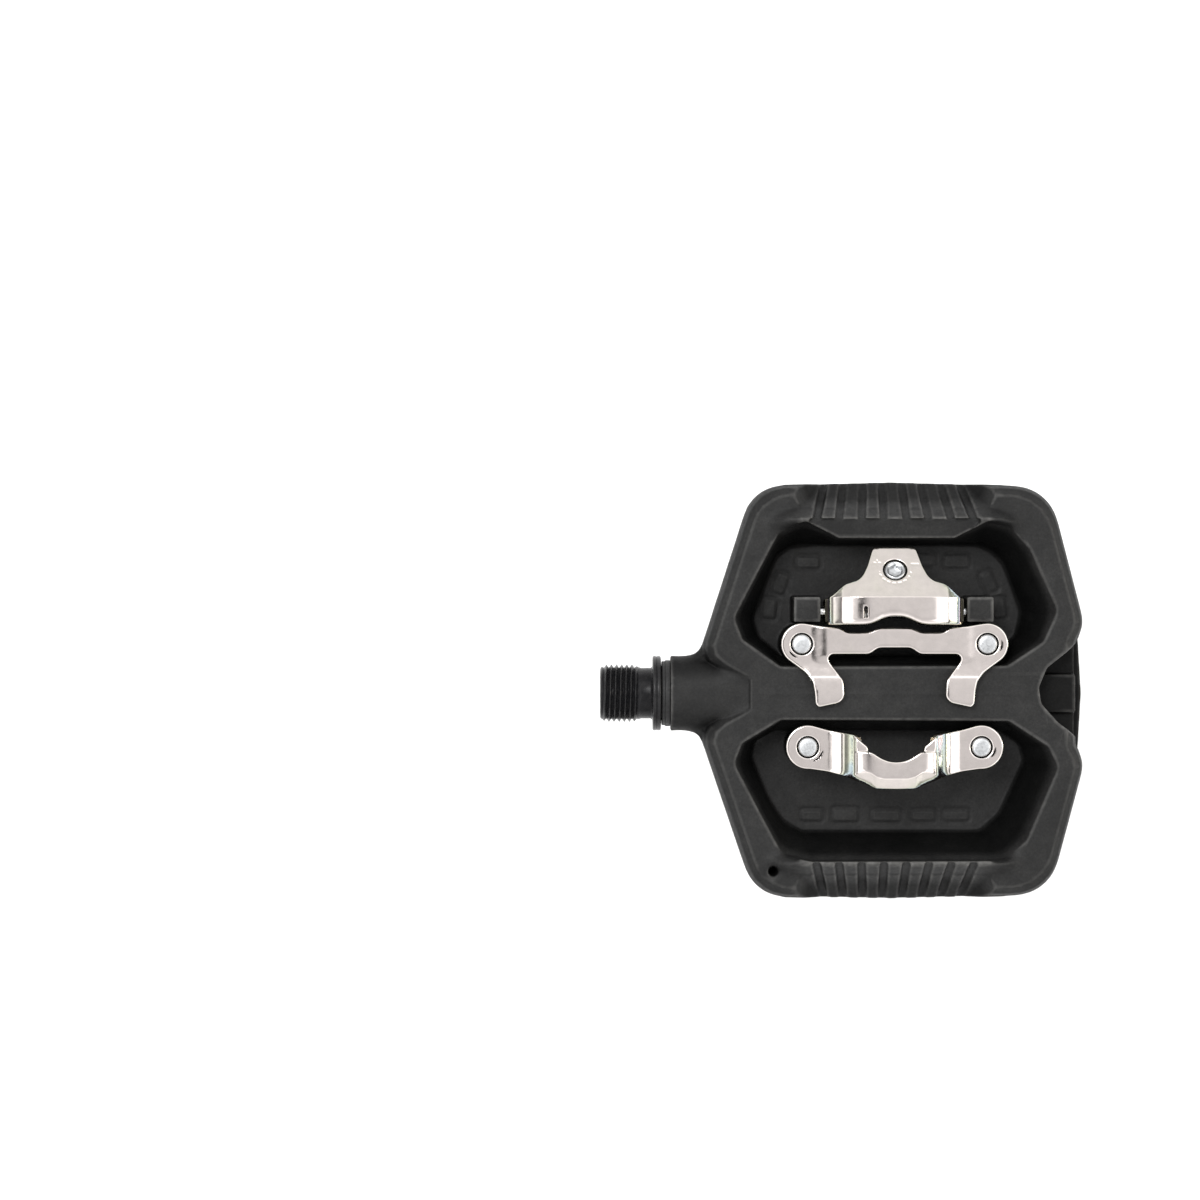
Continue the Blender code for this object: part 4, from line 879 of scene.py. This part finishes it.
def spindle():
    """The axle: threaded end with a hexagon socket, relief neck, grooved shoulder and plain shaft."""
    hexagon = polygon_radius(6, KEY_AF)
    end = THREAD_FROM
    rings = [(end + KEY_DEPTH, 0.02), (end + KEY_DEPTH - 1.6, lambda a: 0.92 * hexagon(a)),
             (end + KEY_DEPTH - 2.0, hexagon), (end + 0.55, hexagon),
             (end + 0.3, lambda a: max(hexagon(a), 4.25)), (end + 0.02, 4.9), (end, 5.1), (end, 6.0),
             (end + 0.12, 6.25)]
    rings += thread_rings(end + 0.35, THREAD_TO, THREAD_R, THREAD_ROOT, PITCH, 1)
    rings += [(-3.2, 6.42), (-3.0, 6.34), (-2.6, 6.3), (-0.6, 6.3), (-0.35, 6.36), (-0.12, 6.6),
              (-0.02, 7.0), (0, 8.85), (0.08, 9.1), (0.25, 9.24), (0.7, 9.26), (0.8, 9.2), (0.9, 9.14),
              (1.12, 9.14), (1.22, 9.2), (1.32, 9.26), (1.8, 9.24), (1.98, 9.1), (2.08, 8.8), (2.1, 8.6),
              (2.12, 5.2), (2.3, 4.9), (23.4, 4.9), (24, 4.6),
              (62, 4.6), (63.5, 3.0), (65.6, 3.0), (65.7, 2.4), (81.1, 2.4), (81.4, 2.2), (81.5, 1.9)]
    mesh = turned_mesh("spindle", rings, steps=96)
    piece("spindle_turned", mesh, "spindle", BLACK_STEEL, "spindle", sharp=38)


def collar_and_seal():
    """The lip seal and the knurled retaining collar in the boss mouth."""
    seal = [(4.34, 5.5), (4.34, 8.0), (4.28, 8.16), (4.14, 8.2), (3.3, 8.2), (3.16, 8.14), (3.08, 8.0),
            (2.98, 7.95), (2.5, 7.95), (2.42, 8.0), (2.34, 7.9), (2.24, 7.7), (2.22, 5.5)]
    mesh = turned_mesh("dust_seal", seal, 64, close_start=False, close_end=False)
    piece("dust_seal_lip", mesh, "pedal", RUBBER, "dust_seal")
    collar = [(9.0, 5.45), (9.0, 7.3), (8.9, 7.4), (4.9, 7.4), (4.65, 7.15), (4.65, 5.6), (4.8, 5.45)]
    mesh = turned_mesh("retaining_collar", collar, 64, close_start=False, close_end=False)
    piece("retaining_collar_turned", mesh, "pedal", BLACK_STEEL, "retaining_collar")


def plate_screws():
    """Four zinc screws: plain ends in the plates, six-lobed heads in the tread side."""
    lobes = lobed_radius(2.05, 1.4)
    rings = [(11.1, 0.6), (11.12, 1.75), (11.05, 2.0), (10.85, 2.3), (10.6, 2.42), (-7.5, 2.42),
             (-7.6, 2.6), (-7.65, 3.35), (-7.8, 3.48), (-9.1, 3.48), (-9.4, 3.36), (-9.62, 3.05),
             (-9.7, 2.7), (-9.7, 2.3), (-9.55, lambda a: lobes(a) + 0.12), (-9.35, lobes),
             (-7.7, lambda a: 0.93 * lobes(a)), (-7.4, 0.5)]
    for name, (half, y) in (("rear", REAR_SCREWS), ("front", FRONT_SCREWS)):
        for side, sign in (("inboard", -1), ("outboard", 1)):
            node = "plate_screw_" + name + "_" + side
            mesh = turned_mesh(node, rings, 72)
            mesh.transform(along((0, 0, 1), (CENTRE_X + sign * half, y, 0)))
            piece(node + "_zinc", mesh, "pedal", ZINC, node)


def adjuster_axis():
    direction = Vector((0, math.sin(CLAW_SLOPE), math.cos(CLAW_SLOPE)))
    drop = (ADJ_Y - CLAW_BEND_Y) * math.tan(CLAW_SLOPE)
    return direction, Vector((CENTRE_X, ADJ_Y, CLAW_TOP - drop))


def tension_adjuster():
    """The release-tension screw with its hexagon socket, and the nut that it draws."""
    direction, at = adjuster_axis()
    hexagon = polygon_radius(6, 3.0)
    rings = [(-1.75, 0.05), (-1.55, hexagon), (-0.25, hexagon), (-0.05, 1.85), (0.05, 2.0),
             (0.1, 2.2), (0.02, 2.4), (-0.2, 2.55), (-0.45, 2.6), (-2.2, 2.6), (-2.3, 2.5), (-2.3, 1.6)]
    rings += thread_rings(-2.6, -12.3, 1.5, 1.24, 0.8, -1, 0.6, 8) + [(-12.6, 1.1), (-12.8, 0.8)]
    mesh = turned_mesh("tension_screw", rings, 48)
    mesh.transform(along(direction, at))
    piece("tension_screw_zinc", mesh, "tension_screw", ZINC, "tension_screw")
    bm = bmesh.new()
    bmesh.ops.create_cube(bm, size=1, matrix=Matrix.Diagonal((8.4, 5.2, 3.2, 1)))
    bmesh.ops.bevel(bm, geom=bm.edges[:], offset=0.35, segments=3, profile=0.5, affect="EDGES")
    nut = helper("nut_block", new_mesh("nut_block", bm))
    bore = helper("nut_bore", turned_mesh("nut_bore", [(-3, 1.8), (3, 1.8)], 40))
    bore.data.transform(along((0, 0, 1), (0, 0, 0)))
    step = nut.modifiers.new("bore", "BOOLEAN")
    step.solver = "EXACT"
    step.object = bore
    mesh = evaluated(nut)
    bpy.data.objects.remove(nut)
    bpy.data.objects.remove(bore)
    tilt = Matrix.Translation(at) @ Matrix.Rotation(-CLAW_SLOPE, 4, "X") @ Matrix.Translation((0, 0, -8.4))
    mesh.transform(tilt)
    piece("tension_nut_steel", mesh, "tension_nut", SPRING_STEEL, "tension_nut")


def wire(name, points, radius, sides=12):
    """A round wire along a line of points, closed at its ends."""
    curve = bpy.data.curves.new(name, "CURVE")
    curve.dimensions = "3D"
    curve.bevel_depth = radius
    curve.bevel_resolution = sides // 4
    curve.use_fill_caps = True
    spline = curve.splines.new("POLY")
    spline.points.add(len(points) - 1)
    for point, at in zip(spline.points, points):
        point.co = (*at, 1)
    obj = bpy.data.objects.new(name, curve)
    bpy.context.scene.collection.objects.link(obj)
    mesh = evaluated(obj)
    bpy.data.objects.remove(obj)
    bm = bmesh.new()
    bm.from_mesh(mesh)
    bmesh.ops.remove_doubles(bm, verts=bm.verts, dist=1e-4)
    return new_mesh(name, bm)


def torsion_spring(name, sign):
    """A torsion spring on the pin, with one arm on the pocket floor and one beside the nut."""
    near, far, mean, turns, per_turn = 6.0, 13.6, 2.75, 4.5, 10
    count = int(turns * per_turn)
    points = [(CENTRE_X + sign * 5.1, PIN_Y + 5.5, PIN_Z - 1.3),
              (CENTRE_X + sign * 5.4, PIN_Y + 3.7, PIN_Z - 2.1)]
    for k in range(count + 1):
        a = math.radians(-90 - 360 * k / per_turn)
        x = near + 0.3 + (far - near - 0.6) * k / count
        points.append((CENTRE_X + sign * x, PIN_Y + mean * math.cos(a), PIN_Z + mean * math.sin(a)))
    points += [(CENTRE_X + sign * far, PIN_Y + 3.3, PIN_Z + 1.6),
               (CENTRE_X + sign * far, PIN_Y + 4.3, PIN_Z - 1),
               (CENTRE_X + sign * far, PIN_Y + 4.6, FLOOR_Z + 0.9)]
    mesh = wire(name, cut_corners(points, 2), 0.58)
    piece(name + "_wire", mesh, "pedal", SPRING_STEEL, name, sharp=60)


def pivot_pin():
    rings = [(-PIN_HALF, 0.9), (-PIN_HALF + 0.05, 1.25), (-PIN_HALF + 0.3, PIN_R), (PIN_HALF - 0.3, PIN_R),
             (PIN_HALF - 0.05, 1.25), (PIN_HALF, 0.9)]
    mesh = turned_mesh("claw_pivot_pin", rings, 40)
    mesh.transform(Matrix.Translation((CENTRE_X, PIN_Y, PIN_Z)))
    piece("claw_pivot_pin_steel", mesh, "pedal", BEARING_STEEL, "claw_pivot_pin")


def body_and_tread():
    mesh = moulded("pedal_body", *BODY_SKIN, shape_body)
    piece("pedal_body_moulded", mesh, "pedal", BODY_LOOK, "pedal_body", sharp=0)
    mesh = moulded("tread_pad", *TREAD_SKIN)
    piece("tread_pad_moulded", mesh, "pedal", TREAD_LOOK, "tread_pad", sharp=0)


def inner_parts():
    """The sealed cartridge keeps its CAD shapes, with proper finishes."""
    finishes = {"inboard_bush": BRONZE, "spindle_washer": ZINC_DULL, "spindle_lock_nut": ZINC_DULL,
                "ball_cage_1": BRASS, "ball_cage_2": BRASS}
    steel = ("cartridge_sleeve", "bearing_", "ball_1_", "ball_2_")
    for name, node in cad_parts.items():
        look = BEARING_STEEL if name.startswith(steel) else finishes.get(name)
        if look:
            node.data.materials.clear()
            node.data.materials.append(look)


# --- studio -----------------------------------------------------------------------------
def area_light(name, at, target, size, power, colour=(1, 1, 1)):
    data = bpy.data.lights.new(name, "AREA")
    data.shape = "RECTANGLE"
    data.size, data.size_y = size
    data.energy = power
    data.color = colour
    obj = bpy.data.objects.new(name, data)
    bpy.context.scene.collection.objects.link(obj)
    obj.location = at
    obj.rotation_euler = (Vector(target) - Vector(at)).to_track_quat("-Z", "Y").to_euler()


def surround():
    """A studio round the part: a soft overhead, a brighter ring of softboxes, darker sides."""
    world = bpy.data.worlds.new("surround")
    world.use_nodes = True
    sky = Graph(world.node_tree)
    maths, ramp = sky.maths, sky.ramp
    split = sky.add("SeparateXYZ")
    sky.link(sky.add("TexCoord").outputs["Generated"], split.inputs[0])
    up = split.outputs["Z"]
    floor = [(0.0, 0.9), (0.06, 0.9)]
    top = [(0.96, 0.93), (1.0, 0.93)]
    front = ramp(up, *floor, (0.12, 0.5), (0.3, 1.1), (0.5, 1.18), (0.58, 1.3), (0.66, 1.7), (0.8, 1.3),
                 *top)
    sides = ramp(up, (0.0, 0.6), (0.08, 0.3), (0.2, 0.3), (0.25, 1.6), (0.36, 1.6), (0.42, 0.22),
                 (0.54, 0.25), (0.61, 2.3), (0.92, 2.3), *top)
    rear = ramp(up, *floor, (0.12, 0.8), (0.3, 1.0), (0.55, 1.06), (0.6, 2.2), (0.78, 2.2), (0.82, 1.03),
                *top)
    level = maths("POWER", maths("SUBTRACT", 1.0, maths("MULTIPLY", up, up)), 0.5)
    heading = maths("DIVIDE", split.outputs["Y"], maths("MAXIMUM", level, 0.01))
    heading = maths("ADD", maths("MULTIPLY", heading, 0.5), 0.5)
    tone = sky.mix(ramp(heading, (0.05, 1.0), (0.14, 0.0)), sides, front)
    tone = sky.mix(ramp(heading, (0.84, 0.0), (0.93, 1.0)), tone, rear)
    side_on = maths("SUBTRACT", split.outputs["X"], LENS[0])
    front_on = maths("SUBTRACT", split.outputs["Y"], LENS[1])
    away = maths("ADD", maths("MULTIPLY", side_on, side_on), maths("MULTIPLY", front_on, front_on))
    away = maths("POWER", away, 0.5)
    lens = maths("MAXIMUM", ramp(away, (0.045, 0.05), (0.095, 1.0)), maths("LESS_THAN", up, 0.0))
    dim = ramp(maths("ADD", maths("MULTIPLY", split.outputs["Y"], 0.5), 0.5),
               (0.25, 1.0), (0.46, 0.84), (0.5, 1.0))
    tone = maths("MULTIPLY", maths("MULTIPLY", tone, lens), dim)
    background = sky.tree.nodes["Background"]
    sky.link(tone, background.inputs["Color"])
    background.inputs["Strength"].default_value = 1.0
    bpy.context.scene.world = world


def studio():
    """A pale floor well below the turning pedal, with soft lights over it."""
    bm = bmesh.new()
    bmesh.ops.create_grid(bm, x_segments=8, y_segments=8, size=3.0)
    mesh = bpy.data.meshes.new("floor")
    bm.to_mesh(mesh)
    bm.free()
    floor = bpy.data.objects.new("floor", mesh)
    floor.location = (0.05, 0, -0.085)
    bpy.context.scene.collection.objects.link(floor)
    look = Look("floor_paper", Roughness=0.9, Specular_IOR_Level=0.1)
    look.set("Base Color", look.ramp(look.noise(40, 2), (0.3, 0.93), (0.7, 0.95)))
    mesh.materials.append(look.material)
    surround()
    area_light("key", (-0.22, 0.32, 0.95), (0.05, 0, 0), (0.35, 0.35), 4.8)
    area_light("strip", (0.9, 0.05, 0.3), (0.05, 0, 0), (0.2, 0.3), 1.5, (1.0, 0.93, 0.8))
    bpy.context.scene.view_settings.view_transform = "Standard"


def camera():
    data = bpy.data.cameras.new("camera")
    data.sensor_width = 36
    data.lens = 36 * VIEW_HEIGHT / VIEW_WIDTH
    data.clip_start, data.clip_end = 0.05, 20
    obj = bpy.data.objects.new("camera", data)
    bpy.context.scene.collection.objects.link(obj)
    obj.location = (VIEW_CENTRE[0] * MM, VIEW_CENTRE[1] * MM, VIEW_HEIGHT * MM)
    bpy.context.scene.camera = obj


body_and_tread()
stop_plate()
front_hoop()
rear_claw()
spindle()
collar_and_seal()
plate_screws()
tension_adjuster()
torsion_spring("torsion_spring_inboard", -1)
torsion_spring("torsion_spring_outboard", 1)
pivot_pin()
inner_parts()
studio()
camera()
